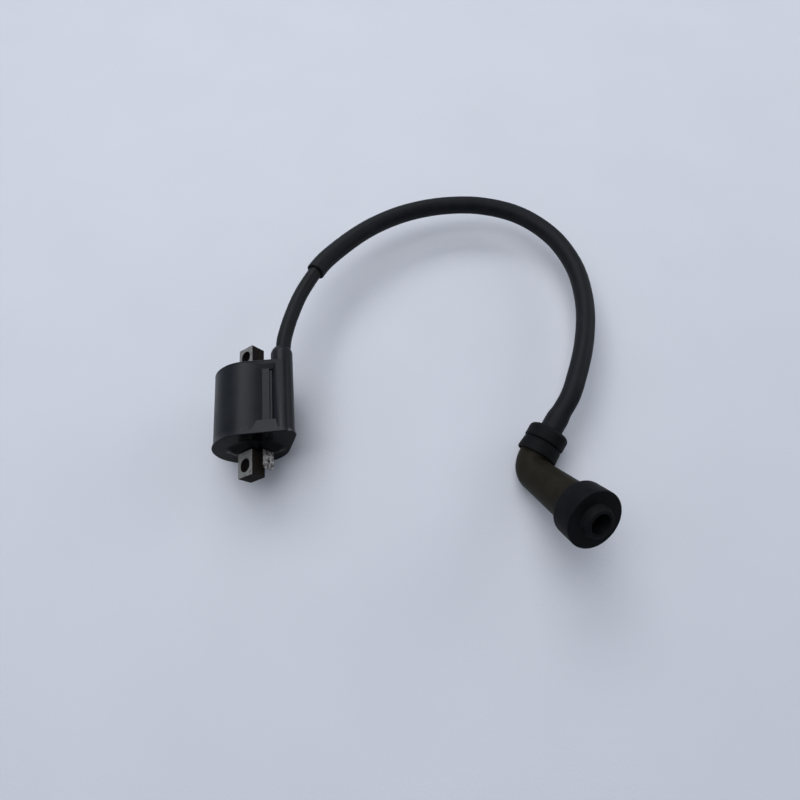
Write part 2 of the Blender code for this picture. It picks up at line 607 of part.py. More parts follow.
def make_lead(coil, cable_leg, rubber, sleeve_rubber):
    """High-tension lead from the tower's pin to the cap's screw, and the sleeve over most of it."""
    to_world, leg = coil.matrix_world, cable_leg.matrix_world
    inner_end = to_world @ Vector((TOWER_OFFSET, LEAD_SEAT + PIN_BASE + FIT, 0.0))
    bend = to_world @ Vector((TOWER_OFFSET, TOWER_MOUTH - LEAN_LENGTH, 0.0))
    mouth = to_world @ Vector((TOWER_OFFSET, TOWER_MOUTH, 0.0)) + Vector((LEAD_LEAN, 0.0, 0.0))
    heights = (NOSE_END + 4 * FLARE_TAPER, NOSE_END, LEAD_STOP)
    leg_points = [leg @ Vector((0.0, 0.0, height)) for height in heights]
    route = [inner_end, bend, mouth] + [Vector(point) * MM for point in LEAD_ROUTE] + leg_points
    path = smooth_path(route, LEAD_STEP)
    inside = (mouth - inner_end).length
    bare, rest = split_path(path, inside + SLEEVE_SETBACK)
    covered, hidden = split_path(rest, path_length(rest) - (SLEEVE_END - LEAD_STOP))
    covered, flared = split_path(covered, path_length(covered) - NOSE_LENGTH)
    plain, tapered = split_path(covered, path_length(covered) - FLARE_TAPER)
    sleeve_path = thinned(plain) + tapered[-1:] + flared[-1:]
    stations = thinned(bare)[:-1] + sleeve_path + hidden[-1:]

    lead_mesh = tube("ht_lead", stations, [LEAD_RADIUS] * len(stations), LEAD_SIDES)
    lead = solid("ht_lead", lead_mesh, None, rubber)
    spike_top = LEAD_SEAT + PIN_BASE + SPIKE_LENGTH
    spike_bore = rod("lead_spike_bore", SPIKE_RADIUS + FIT, 0.0, spike_top + FIT, along_y=True)
    drill = tool("lead_spike_bore", spike_bore, coil)
    drill.location.x = TOWER_OFFSET
    screw_bore = rod("lead_screw_bore", SCREW_RADIUS + FIT, 0.0, SCREW_SEAT + SCREW_HEAD + SCREW_LENGTH + FIT)
    cut(lead, drill, tool("lead_screw_bore", screw_bore, cable_leg))

    radii = [SLEEVE_DIAMETER / 2] * (len(sleeve_path) - 2) + [SLEEVE_DIAMETER / 2 * SLEEVE_FLARE] * 2
    sleeve_mesh = tube("lead_sleeve", sleeve_path, radii, LEAD_SIDES, caps=False)
    sleeve = solid("lead_sleeve", sleeve_mesh, None, sleeve_rubber)
    wall = sleeve.modifiers.new("wall", "SOLIDIFY")
    wall.thickness = SLEEVE_WALL
    wall.offset = -1.0
    wall.use_even_offset = True
    free = path_length(bare) - inside + path_length(rest) - (SLEEVE_END - LEAD_STOP)
    print(f"lead: {path_length(path) / MM:.1f} mm in all, {free / MM:.1f} mm between the tower and the cap")


def make_cap_body(cable_leg, plug_leg, phenolic):
    """Hollow elbow: a lead bore, a stem bore for the contacts and a chamber for the plug's top."""
    to_plug = (cable_leg.matrix_world.inverted() @ plug_leg.matrix_world).to_3x3()
    cable_axis, plug_axis = Vector((0, 0, 1)), to_plug @ Vector((0, 0, 1))
    setback = ELBOW_BEND / math.tan(ELBOW_ANGLE / 2)
    turn = math.pi - ELBOW_ANGLE
    inward = (cable_axis + plug_axis).normalized()
    pivot = inward * (ELBOW_BEND / math.sin(ELBOW_ANGLE / 2))
    hinge = plug_axis.cross(cable_axis)
    start = cable_axis * setback - pivot
    points = [cable_axis * CABLE_LEG_LENGTH]
    radii = [CABLE_LEG_RADIUS]
    for step in range(ELBOW_STEPS + 1):
        points.append(pivot + Matrix.Rotation(turn * step / ELBOW_STEPS, 3, hinge) @ start)
        radii.append(CABLE_LEG_RADIUS)
    for height, radius in ((PLUG_LEG_SHOULDER, PLUG_LEG_RADIUS), (PLUG_LEG_SHOULDER + FIT, SPIGOT_RADIUS),
                           (PLUG_LEG_LENGTH, SPIGOT_RADIUS)):
        points.append(plug_axis * height)
        radii.append(radius)
    body = solid("cap_body", tube("cap_body", points, radii, ELBOW_SIDES), cable_leg, phenolic)
    lead_bore = rod("cap_lead_bore", CABLE_LEG_BORE, LEAD_STOP - FIT, 2 * CABLE_LEG_LENGTH, TURNED_SIDES)
    head_room = SCREW_SEAT + SCREW_HEAD + FIT
    pocket = rod("screw_pocket", SCREW_HEAD_RADIUS + FIT, SCREW_SEAT - FIT, head_room)
    screw_hole = rod("screw_hole", SCREW_RADIUS + FIT, SCREW_SEAT, LEAD_STOP + FIT)
    stem = rod("stem_bore", STEM_BORE, -FIT, CHAMBER_FLOOR + FIT, TURNED_SIDES)
    chamber = rod("plug_chamber", CHAMBER_RADIUS, CHAMBER_FLOOR, 2 * PLUG_LEG_LENGTH, TURNED_SIDES)
    cut(body, tool("cap_lead_bore", lead_bore, cable_leg), tool("screw_pocket", pocket, cable_leg))
    cut(body, tool("screw_hole", screw_hole, cable_leg), tool("stem_bore", stem, plug_leg))
    cut(body, tool("plug_chamber", chamber, plug_leg))


def make_cable_seal(cable_leg, rubber):
    """Rubber seal: two rings with a groove between, and a nose that the sleeve is pushed over."""
    inner = CABLE_LEG_RADIUS + FIT
    nose = LEAD_BORE + NOSE_WALL
    groove = (SEAL_GROOVE - GROOVE_WIDTH / 2, SEAL_GROOVE + GROOVE_WIDTH / 2)
    floor = SEAL_RADIUS - GROOVE_DEPTH
    profile = [(inner, SEAL_RIM), (floor, SEAL_RIM), (SEAL_RADIUS, SEAL_RIM + GROOVE_DEPTH)]
    profile += [(SEAL_RADIUS, groove[0] - GROOVE_DEPTH), (floor, groove[0]), (floor, groove[1])]
    profile += [(SEAL_RADIUS + GROOVE_DEPTH / 2, groove[1] + GROOVE_DEPTH)]
    crown = SEAL_RADIUS + GROOVE_DEPTH / 2 - SEAL_ROUND
    profile += arc(crown, SEAL_END - SEAL_ROUND, SEAL_ROUND, 0.0, math.pi / 2, 4)
    profile += [(nose, SEAL_END), (nose, NOSE_END), (LEAD_BORE, NOSE_END)]
    profile += [(LEAD_BORE, CABLE_LEG_LENGTH + FIT), (inner, CABLE_LEG_LENGTH + FIT)]
    solid("cable_seal", turned("cable_seal", profile), cable_leg, rubber)


def make_plug_boot(plug_leg, rubber):
    """Rubber boot over the plug leg, with a rounded back, a flat front and a collar round the mouth."""
    inner = SPIGOT_RADIUS + FIT
    profile = [(inner, BOOT_START)]
    for step in range(SHOULDER_STEPS + 1):
        angle = math.pi / 2 * step / SHOULDER_STEPS
        radius = BOOT_RADIUS - BOOT_INSET * (1 - math.sin(angle))
        profile.append((radius, BOOT_START + BOOT_SHOULDER * (1 - math.cos(angle))))
    profile += arc(BOOT_FACE_RADIUS - BOOT_EDGE, BOOT_FACE - BOOT_EDGE, BOOT_EDGE, 0.0, math.pi / 2, 3)
    collar = MOUTH_RADIUS + COLLAR_WALL
    profile += [(collar + COLLAR_TAPER, BOOT_FACE), (collar, BOOT_FACE + COLLAR_HEIGHT)]
    profile += [(MOUTH_RADIUS, BOOT_FACE + COLLAR_HEIGHT), (MOUTH_RADIUS, BOOT_FACE - BOOT_FRONT_WALL)]
    profile += [(BOOT_CHAMBER, BOOT_FACE - BOOT_FRONT_WALL), (BOOT_CHAMBER, PLUG_LEG_LENGTH + FIT)]
    profile += [(inner, PLUG_LEG_LENGTH + FIT)]
    solid("plug_boot", turned("plug_boot", profile), plug_leg, rubber)


def make_contacts(cable_leg, plug_leg, steel, brass, ceramic):
    """Screw into the lead, then spring, resistor, plug socket and the socket's wire clip."""
    head_top = SCREW_SEAT + SCREW_HEAD
    tip = head_top + SCREW_LENGTH
    screw = [(0.0, SCREW_SEAT), (SCREW_HEAD_RADIUS, SCREW_SEAT), (SCREW_HEAD_RADIUS, head_top)]
    screw += [(SCREW_RADIUS, head_top), (SCREW_RADIUS, tip - 2 * SCREW_RADIUS), (0.0, tip)]
    solid("terminal_screw", turned("terminal_screw", screw, SMALL_SIDES), cable_leg, steel)

    wire = SPRING_WIRE / 2
    coil_radius = STEM_BORE - FIT - wire
    low, high = SPRING_START + wire, RESISTOR_START - FIT - wire
    count = SPRING_TURNS * SPRING_SIDES
    helix = []
    for step in range(count + 1):
        angle = 2 * math.pi * step / SPRING_SIDES
        height = low + (high - low) * step / count
        helix.append(Vector((coil_radius * math.cos(angle), coil_radius * math.sin(angle), height)))
    solid("contact_spring", tube("contact_spring", helix, [wire] * len(helix), WIRE_SIDES), plug_leg, steel)
    neighbours = zip(helix, helix[SPRING_SIDES:])
    turn_gap = min((upper - lower).length for lower, upper in neighbours) - SPRING_WIRE
    print(f"contact spring: least gap between turns {turn_gap / MM:.2f} mm")

    resistor_end = RESISTOR_START + RESISTOR_LENGTH
    rod_mesh = rod("resistor", STEM_BORE - FIT, RESISTOR_START, resistor_end, TURNED_SIDES // 2)
    solid("resistor", rod_mesh, plug_leg, ceramic)

    stem, seat = STEM_BORE - FIT, CHAMBER_FLOOR + FIT
    mouth = seat + SOCKET_LENGTH
    groove = mouth - CLIP_SETBACK
    half = CLIP_WIRE / 2 + FIT
    deep = SOCKET_BORE + CLIP_WIRE
    cup = [(0.0, resistor_end + FIT), (stem, resistor_end + FIT), (stem, seat), (SOCKET_RADIUS, seat)]
    cup += [(SOCKET_RADIUS, mouth), (SOCKET_BORE, mouth), (SOCKET_BORE, groove + half), (deep, groove + half)]
    cup += [(deep, groove - half), (SOCKET_BORE, groove - half), (SOCKET_BORE, seat + SOCKET_FLOOR)]
    cup += [(0.0, seat + SOCKET_FLOOR)]
    solid("plug_socket", turned("plug_socket", cup, TURNED_SIDES // 2), plug_leg, brass)

    bend = deep - FIT - CLIP_WIRE / 2
    sweep = 2 * math.pi - CLIP_GAP
    angles = [sweep * step / CLIP_STEPS for step in range(CLIP_STEPS + 1)]
    clip = [Vector((bend * math.cos(angle), bend * math.sin(angle), groove)) for angle in angles]
    clip_mesh = tube("retaining_clip", clip, [CLIP_WIRE / 2] * len(clip), WIRE_SIDES)
    solid("retaining_clip", clip_mesh, plug_leg, steel)


def main():
    clear_scene()
    black_plastic = material("moulded black nylon", (0.020, 0.021, 0.023), 0.42)
    resin = material("black potting resin", (0.012, 0.012, 0.013), 0.25)
    core_steel = material("silicon steel", (0.42, 0.40, 0.36), 0.45, 1.0)
    tin = material("tinned brass", (0.72, 0.70, 0.66), 0.3, 1.0)
    bobbin_plastic = material("natural nylon", (0.75, 0.70, 0.58), 0.5)
    copper = material("enamelled copper", (0.50, 0.18, 0.07), 0.35, 1.0)
    brass = material("brass", (0.62, 0.45, 0.18), 0.35, 1.0)
    spring_steel = material("plated steel", (0.55, 0.55, 0.55), 0.35, 1.0)
    lead_rubber = material("lead rubber", (0.017, 0.017, 0.019), 0.5)
    sleeve_rubber = material("sleeve rubber", (0.022, 0.022, 0.024), 0.55)
    boot_rubber = material("moulded rubber", (0.020, 0.021, 0.021), 0.6)
    phenolic = material("brown phenolic", (0.060, 0.046, 0.026), 0.45)
    ceramic = material("resistor ceramic", (0.70, 0.66, 0.58), 0.5)

    lie = Matrix.Translation((CORE_SHIFT, 0.0, CORE_RAISED)) @ Matrix.Rotation(-COIL_ROLL, 4, "Y")
    coil = frame("coil_frame", lie)
    aim = Matrix.Rotation(CABLE_AZIMUTH, 4, "Z") @ Matrix.Rotation(math.pi / 2 - CABLE_RISE, 4, "Y")
    place = Matrix.Translation(Vector(ELBOW_PLACE) * MM) @ aim @ Matrix.Rotation(CAP_ROLL, 4, "Z")
    cable_leg = frame("cap_cable_leg", place)
    plug_leg = frame("cap_plug_leg", Matrix.Rotation(ELBOW_ANGLE, 4, "Y"), cable_leg)
    bpy.context.view_layer.update()

    make_core(coil, core_steel)
    make_housing(coil, black_plastic)
    make_potting(coil, resin)
    make_blade(coil, tin)
    make_windings(coil, bobbin_plastic, copper, brass)
    make_high_tension(coil, brass)
    make_lead(coil, cable_leg, lead_rubber, sleeve_rubber)
    make_cap_body(cable_leg, plug_leg, phenolic)
    make_cable_seal(cable_leg, boot_rubber)
    make_plug_boot(plug_leg, boot_rubber)
    make_contacts(cable_leg, plug_leg, spring_steel, brass, ceramic)
    bpy.context.view_layer.update()


main()
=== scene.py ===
"""Dresses an ignition coil with its high-tension lead and elbow plug cap, round the packed solids.

Metres, +Z up. The coil's own frame has X from the core bar to the lead tower, Y along the bar and Z
along the bolt holes. The cap's two legs each have a frame at the elbow with Z along the leg.
"""
import json
import math
import random

import bmesh
import bpy
from bpy.props import FloatProperty, FloatVectorProperty, PointerProperty
from mathutils import Matrix, Vector

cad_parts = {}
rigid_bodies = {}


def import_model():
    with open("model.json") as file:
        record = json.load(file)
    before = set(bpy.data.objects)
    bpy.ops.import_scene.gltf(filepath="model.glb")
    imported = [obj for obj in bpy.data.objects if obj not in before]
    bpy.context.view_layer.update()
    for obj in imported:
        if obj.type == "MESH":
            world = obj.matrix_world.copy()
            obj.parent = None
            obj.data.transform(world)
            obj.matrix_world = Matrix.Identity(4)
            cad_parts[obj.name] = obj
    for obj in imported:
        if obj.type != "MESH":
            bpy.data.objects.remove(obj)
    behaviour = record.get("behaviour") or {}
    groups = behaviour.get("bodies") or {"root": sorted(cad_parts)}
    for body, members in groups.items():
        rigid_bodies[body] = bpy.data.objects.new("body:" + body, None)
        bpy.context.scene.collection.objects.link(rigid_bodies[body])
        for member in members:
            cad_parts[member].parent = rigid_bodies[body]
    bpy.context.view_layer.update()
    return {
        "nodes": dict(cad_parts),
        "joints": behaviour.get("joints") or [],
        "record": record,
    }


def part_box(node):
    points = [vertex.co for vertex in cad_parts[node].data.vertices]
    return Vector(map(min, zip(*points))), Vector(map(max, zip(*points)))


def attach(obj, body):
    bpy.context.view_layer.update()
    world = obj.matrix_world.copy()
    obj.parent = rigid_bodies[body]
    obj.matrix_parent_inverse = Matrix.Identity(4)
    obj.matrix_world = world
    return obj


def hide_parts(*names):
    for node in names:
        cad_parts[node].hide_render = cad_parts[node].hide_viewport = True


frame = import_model()

bl_info = {
    "name": "Ignition Coil Dressing",
    "version": (1, 0, 0),
    "blender": (4, 5, 0),
    "location": "View3D > Sidebar > Ignition Coil",
    "description": "Models and finishes the visible pieces of an ignition coil, its lead and its plug cap",
    "category": "Add Mesh",
}

MM = 0.001
FULL_TURN = 2 * math.pi
CLEARANCE = 0.3 * MM  # room round a piece that stands in another
SAME = 1e-7  # points closer than this, in metres, are one
ON_LEVEL = 1e-6  # points this near to a level lie on it
WELD = 0.01 * MM  # closes the slivers that joining and cutting leave
SHARP = math.radians(38.0)  # edges that turn more than this stay sharp
NODES = frame["nodes"]
JOINT = frame["joints"][0]
COIL_BODY = JOINT["parent"]
CAP_BODY = JOINT["child"]


def middle(node):
    """Middle of the box round a solid."""
    low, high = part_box(node)
    return (low + high) / 2


def upright(x, y, z, place):
    """Frame with these three axes, at a place."""
    return Matrix.Translation(place) @ Matrix((x, y, z)).transposed().to_4x4()


# The coil lies along Y, with its plates stacked along the bolt holes
STACK_AXIS = Vector(frame["record"]["mounts"][0]["axis"]).normalized()
BAR_AXIS = Vector((0.0, 1.0, 0.0))
COIL = upright(BAR_AXIS.cross(STACK_AXIS), BAR_AXIS, STACK_AXIS, middle("laminated_core"))
LENGTHWISE = Matrix.Rotation(-math.pi / 2, 4, "X")  # turns a piece spun about Z to lie along Y

# The cap turns about the lead, and its other leg points at the resistor inside it
ELBOW = Vector(JOINT["pos_m"])
CABLE_AXIS = Vector(JOINT["axis"]).normalized()
PLUG_AXIS = (middle("resistor") - ELBOW).normalized()
HINGE = PLUG_AXIS.cross(CABLE_AXIS).normalized()
CABLE_LEG = upright(HINGE.cross(CABLE_AXIS), HINGE, CABLE_AXIS, ELBOW)
PLUG_LEG = upright(HINGE.cross(PLUG_AXIS), HINGE, PLUG_AXIS, ELBOW)

# Where the lead runs between the tower and the cap
LEAD_ROUTE = [
    (0.0155, 0.0304, 0.0287),
    (0.0167, 0.0358, 0.0284),
    (0.0182, 0.0412, 0.0282),
    (0.0198, 0.0464, 0.0278),
    (0.0238, 0.0570, 0.0271),
    (0.0290, 0.0672, 0.0263),
    (0.0351, 0.0771, 0.0254),
    (0.0468, 0.0897, 0.0239),
    (0.0650, 0.1043, 0.0218),
    (0.0855, 0.1141, 0.0198),
    (0.1072, 0.1184, 0.0181),
    (0.1287, 0.1170, 0.0168),
    (0.1482, 0.1085, 0.0160),
    (0.1627, 0.0921, 0.0158),
    (0.1700, 0.0699, 0.0162),
    (0.1694, 0.0452, 0.0170),
    (0.1632, 0.0220, 0.0179),
    (0.1542, 0.0018, 0.0182),
]


def extent(node, place):
    """Lowest and highest corner of a solid, measured in a frame."""
    inside = place.inverted()
    corners = [inside @ vert.co for vert in NODES[node].data.vertices]
    low = Vector([min(corner[axis] for corner in corners) for axis in range(3)])
    high = Vector([max(corner[axis] for corner in corners) for axis in range(3)])
    return low, high


HOUSING_LOW, HOUSING_HIGH = extent("coil_housing", COIL)
CORE_LOW, CORE_HIGH = extent("laminated_core", COIL)
RESIN_LOW, RESIN_HIGH = extent("potting_fill", COIL)
BLADE_LOW, BLADE_HIGH = extent("blade_terminal", COIL)
PIN_HIGH = extent("high_tension_pin", COIL)[1]
TOWER_OFFSET = (COIL.inverted() @ middle("high_tension_pin")).x
TOWER = COIL @ Matrix.Translation((TOWER_OFFSET, 0.0, 0.0))


def linear(code):
    """Linear colour of an sRGB hex code."""
    values = [int(code[place:place + 2], 16) / 255 for place in (0, 2, 4)]
    return tuple(v / 12.92 if v <= 0.04045 else ((v + 0.055) / 1.055) ** 2.4 for v in values)


def length(name, description, millimetres):
    """Property for a length."""
    return FloatProperty(name=name, description=description, default=millimetres * MM,
                         min=0.0, unit="LENGTH", precision=5)


def colour(name, description, code):
    """Property for a colour."""
    return FloatVectorProperty(name=name, description=description, default=linear(code),
                               min=0.0, max=1.0, size=3, subtype="COLOR")


class StageLook(bpy.types.PropertyGroup):
    """Camera, lamps and floor"""
    camera_place: FloatVectorProperty(
        name="Camera", description="Where the camera stands",
        default=(0.0534, -0.1249, 0.2603), unit="LENGTH", precision=4)
    camera_aim: FloatVectorProperty(
        name="Aim", description="Direction in which the camera looks",
        default=(0.0516, 0.451, -0.891), subtype="DIRECTION")
    camera_right: FloatVectorProperty(
        name="Right", description="Direction of the picture's right side",
        default=(0.9935, -0.1136, 0.0), subtype="DIRECTION")
    lens: FloatProperty(name="Lens", description="Focal length for a sensor 36 mm wide",
                        default=25.875, unit="CAMERA")
    lamp_watts: FloatProperty(name="Lamp", description="Power of the softbox overhead",
                              default=4.2, unit="POWER")
    window_watts: FloatProperty(name="Window", description="Power of the window behind",
                                default=5.6, unit="POWER")
    fill_watts: FloatProperty(name="Fill", description="Power of the fill card on the right",
                              default=1.9, unit="POWER")
    sky: FloatProperty(name="Sky", description="Strength of the light from all round", default=0.35)
    sky_colour: colour("Sky colour", "Colour of the light from all round", "D3DEF2")
    floor_colour: colour("Floor", "Colour of the floor's pale cloth", "CED1D8")


class CoilLook(bpy.types.PropertyGroup):
    """Housing, resin, core bar and tab"""
    barrel_radius: length("Barrel radius", "Round the core bar", 16.8)
    near_reach: length("Near reach", "How far the lip's rounded rim stands out of the solid's end", 0.7)
    lip_width: length("Lip width", "Of the lip along the bar", 2.4)
    block_length: length("End block", "Length of the end block, whose flanks slope", 6.7)
    block_draft: length("End block's draft", "How far its flanks fall towards the webs", 0.85)
    far_block: length("Far block", "Length over which the far end slopes down to the webs", 4.2)
    far_draft: length("Far draft", "How far the far end's flanks fall towards the webs", 2.0)
    far_plate: length("Far plate", "Thickness of the closed end", 1.8)
    far_length: length("Far end", "From the bar's middle to the closed end", 17.5)
    web_depth: length("Web depth", "Of the webs beside the tower, below the flanks", 1.8)
    web_thickness: length("Web thickness", "Of the webs beside the tower", 4.0)
    web_start: length("Web start", "From where the flank leaves the barrel", 3.0)
    web_end: length("Web end", "Where the webs drop, from where the flank leaves the barrel", 10.7)
    web_groove: length("Web groove", "How far they drop there", 0.8)
    wall: length("Wall", "Thickness of the housing", 2.0)
    tower_radius: length("Tower radius", "Of the tower that holds the lead", 5.0)
    tower_dome: length("Tower dome", "Rounding of the tower's end", 1.3)
    edge_round: length("Edge rounding", "Of the housing's outer edges", 0.45)
    parting_width: length("Parting line", "Width of the ridge where the mould's halves met", 0.7)
    parting_height: length("Parting height", "How far that ridge stands out", 0.25)
    parting_turn: FloatProperty(name="Parting turn", default=math.radians(10.0), subtype="ANGLE",
                                description="How far above its middle the ridge runs on the tower")
    resin_recess: length("Resin recess", "How far the resin lies below the rim", 0.06)
    resin_rim: length("Resin rim", "Width of the rim round the resin", 1.0)
    resin_step: length("Resin step", "Depth of the shallow seat under the resin's edge", 1.0)
    mound_proud: length("Mound proud", "How far the resin's mound stands out of the solid's", 0.35)
    mound_margin: length("Mound margin", "Level resin round the bar and the tab", 0.5)
    mound_slope: length("Mound slope", "Width of the mound's sides", 5.5)
    plate: length("Plate", "Thickness of one steel plate", 0.55)
    plate_gap: length("Plate gap", "Between one plate and the next", 0.05)
    plate_shift: length("Plate shift", "How unevenly the plates are stacked", 0.05)
    hole_setback: length("Hole setback", "Of the bolt holes from the bar's ends", 5.25)
    hole_width: length("Hole width", "Of the bolt holes across the bar", 5.6)
    hole_length: length("Hole length", "Of the bolt holes along the bar", 6.4)
    blade_point: length("Tab point", "Chamfer at the tab's tip", 1.0)
    blade_hole: length("Tab hole", "Diameter of the tab's latching hole", 1.7)
    blade_hole_setback: length("Tab hole setback", "From the tab's tip", 3.6)
    scuff_height: length("Scuff height", "Of the lip's rubbed corner above the tower's middle", 1.5)
    scuff_reach: length("Scuff reach", "How far that corner is rubbed", 2.4)
    nylon: colour("Nylon", "Charcoal of the moulded case", "131519")
    rubbed: colour("Rubbed nylon", "Grey of the lip's rubbed corner", "6E7174")
    resin: colour("Resin", "Black of the cast resin", "070708")
    steel: colour("Steel", "Worn face of the core plates", "8D8C87")
    oxide: colour("Oxide", "Sheared edges of the core plates", "16110D")
    tin: colour("Tin", "Plating of the tab", "B5B2AD")


class LeadLook(bpy.types.PropertyGroup):
    """Lead and its sleeve"""
    diameter: length("Lead diameter", "Of the bare lead", 7.0)
    lean: length("Lean", "How far the lead leans to one side at the tower's mouth", 0.8)
    lean_length: length("Lean length", "Straight stretch inside the tower's mouth", 10.0)
    stop: length("Lead stop", "Where the lead ends in the cap, from the elbow", 6.2)
    sleeve_diameter: length("Sleeve diameter", "Outside", 9.45)
    sleeve_wall: length("Sleeve wall", "Thickness", 0.75)
    sleeve_setback: length("Sleeve setback", "Bare lead between the tower and the sleeve", 50.5)
    sleeve_flare: FloatProperty(name="Sleeve flare", description="Growth of the sleeve over the seal's nose",
                                default=1.122)
    flare_taper: length("Flare taper", "Length over which the sleeve widens", 3.0)
    lead_rubber: colour("Lead", "Black of the lead's jacket", "121416")
    sleeve_rubber: colour("Sleeve", "Black of the sleeve", "131518")


class CapLook(bpy.types.PropertyGroup):
    """Elbow, seal and boot"""
    bend: length("Bend", "Radius of the elbow's bend", 8.0)
    cable_radius: length("Cable leg radius", "Outside", 7.8)
    cable_length: length("Cable leg", "From the elbow", 15.0)
    plug_radius: length("Plug leg radius", "At its shoulder", 9.4)
    plug_shoulder: length("Plug shoulder", "From the elbow", 35.7)
    plug_length: length("Plug leg", "From the elbow", 43.0)
    spigot_radius: length("Spigot radius", "Inside the boot", 9.0)
    chamber_radius: length("Chamber radius", "Round the plug's top", 6.6)
    chamber_floor: length("Chamber floor", "From the elbow", 24.0)
    stem_bore: length("Stem bore", "Radius of the contacts' bore", 3.0)
    seal_rim: length("Seal rim", "From the elbow", 7.4)
    seal_end: length("Seal end", "From the elbow", 21.0)
    seal_radius: length("Seal radius", "Outside", 9.25)
    seal_groove: length("Seal groove", "From the elbow", 13.5)
    groove_width: length("Groove width", "At its bottom", 0.8)
    groove_depth: length("Groove depth", "Below the rings", 0.6)
    nose_length: length("Nose", "Length under the sleeve", 7.3)
    nose_radius: length("Nose radius", "Outside", 4.2)
    boot_start: length("Boot start", "From the elbow", 36.2)
    boot_radius: length("Boot radius", "At its back", 12.3)
    boot_round: length("Boot rounding", "Of its back edge", 2.2)
    boot_face: length("Boot face", "From the elbow", 48.2)
    boot_face_radius: length("Boot face radius", "At its front", 12.9)
    collar_height: length("Collar", "How far it stands out of the face", 3.6)
    collar_radius: length("Collar radius", "At its tip", 6.3)
    collar_taper: length("Collar taper", "Growth towards its foot", 0.9)
    mouth_radius: length("Mouth radius", "Of the hole for the plug", 4.5)
    phenolic: colour("Phenolic", "Olive brown of the elbow", "1E1B14")
    rubber: colour("Rubber", "Black of the seal and the boot", "101113")


SHADER = "Principled BSDF"
BLEND = {"data_type": "RGBA", "output": 2}  # a Mix of colours, with its share in 0 and the colours in 6 and 7
WAVE_RADIANS = 20.0  # of a wave texture, in each unit of its scale
UNROLLED = "sweep"  # attribute that holds a point's place on an unrolled tube


def add_node(tree, kind, inputs=(), output=0, **settings):
    """Add a shader node: settings are its own, inputs are values or the sockets that feed it."""
    made = tree.nodes.new("ShaderNode" + kind)
    for name, value in settings.items():
        setattr(made, name, value)
    for name, value in dict(inputs).items():
        if isinstance(value, bpy.types.NodeSocket):
            tree.links.new(value, made.inputs[name])
        else:
            made.inputs[name].default_value = value
    return made.outputs[output]


def per_mm(size):
    """Pattern scale, for Object coordinates in metres, of marks so many millimetres across."""
    return 1.0 / (size * MM)


def shade(tone, share):
    """A tone made lighter or darker, as a colour with alpha."""
    return (*(min(1.0, channel * share) for channel in tone), 1.0)


def new_material(name, **constants):
    """Material with constants on its shader, its node tree and the coordinates that its patterns read."""
    made = bpy.data.materials.new(name)
    made.use_nodes = True
    tree = made.node_tree
    for socket, value in constants.items():
        tree.nodes[SHADER].inputs[socket.replace("_", " ")].default_value = value
    return made, tree, add_node(tree, "TexCoord", output="Object")


def cover(tree, under, over, pattern, low, high, most=1.0):
    """Lay one colour over another: none of it where a pattern is low, the most where it is high."""
    share = add_node(tree, "MapRange", {0: pattern, 1: low, 2: high, 3: 0.0, 4: most})
    return add_node(tree, "Mix", {0: share, 6: under, 7: over}, **BLEND)


def finish_surface(tree, tone, wear, height, depth):
    """Feed a shader's colour, roughness and bump.

    Wear is a pattern, its lowest and highest value, and the roughness at each of them."""
    rough = add_node(tree, "MapRange", dict(enumerate(wear)))
    bump = add_node(tree, "Bump", {"Height": height, "Distance": depth, "Strength": 1.0})
    for socket, source in (("Base Color", tone), ("Roughness", rough), ("Normal", bump)):
        tree.links.new(source, tree.nodes[SHADER].inputs[socket])


def moulded_nylon(look):
    """Glass-filled nylon, moulded: charcoal with a grey bloom, satin, fine orange peel, pale scuffs."""
    made, tree, place = new_material("moulded glass-filled nylon", IOR=1.53, Specular_IOR_Level=0.16)
    bloom = add_node(tree, "TexNoise", {"Vector": place, "Scale": per_mm(11.0), "Detail": 5.0})
    # Mould texture of about 0.1 mm, drawn at 0.35 mm so that it shows
    peel = add_node(tree, "TexNoise", {"Vector": place, "Scale": per_mm(0.35), "Detail": 2.0})
    tone = cover(tree, shade(look.nylon, 0.85), shade(look.nylon, 1.35), bloom, 0.35, 0.7)
    lengthened = add_node(tree, "Mapping", {"Vector": place, "Scale": (1.0, 0.12, 1.0)})
    scratches = add_node(tree, "TexNoise", {"Vector": lengthened, "Scale": per_mm(0.6), "Detail": 3.0})
    tone = cover(tree, tone, shade(look.nylon, 5.0), scratches, 0.72, 0.8, 0.35)
    # The lip's corner beside the tower is rubbed pale
    corner = COIL @ Vector((TOWER_OFFSET + look.tower_radius, HOUSING_LOW.y, look.scuff_height))
    reach = (look.scuff_reach,) * 3
    from_corner = add_node(tree, "Mapping", {"Vector": place, "Location": corner, "Scale": reach},
                           vector_type="TEXTURE")
    close_by = add_node(tree, "TexGradient", {"Vector": from_corner}, output="Fac", gradient_type="SPHERICAL")
    chips = add_node(tree, "TexNoise", {"Vector": place, "Scale": per_mm(0.9), "Detail": 4.0})
    worn = add_node(tree, "Math", {0: close_by, 1: chips}, operation="MULTIPLY")
    tone = cover(tree, tone, shade(look.rubbed, 1.0), worn, 0.22, 0.4, 0.4)
    finish_surface(tree, tone, (bloom, 0.3, 0.7, 0.3, 0.42), peel, 0.02 * MM)
    return made


def cast_resin(look):
    """Epoxy poured into the case: near black and glossy, with slow ripples and a little dust."""
    made, tree, place = new_material("cast black epoxy", IOR=1.55, Specular_IOR_Level=0.035)
    ripple = add_node(tree, "TexNoise", {"Vector": place, "Scale": per_mm(6.0), "Detail": 2.0})
    dust = add_node(tree, "TexNoise", {"Vector": place, "Scale": per_mm(0.8), "Detail": 5.0})
    tone = cover(tree, shade(look.resin, 1.0), shade(look.resin, 3.0), dust, 0.6, 0.8)
    finish_surface(tree, tone, (dust, 0.4, 0.75, 0.16, 0.34), ripple, 0.02 * MM)
    return made


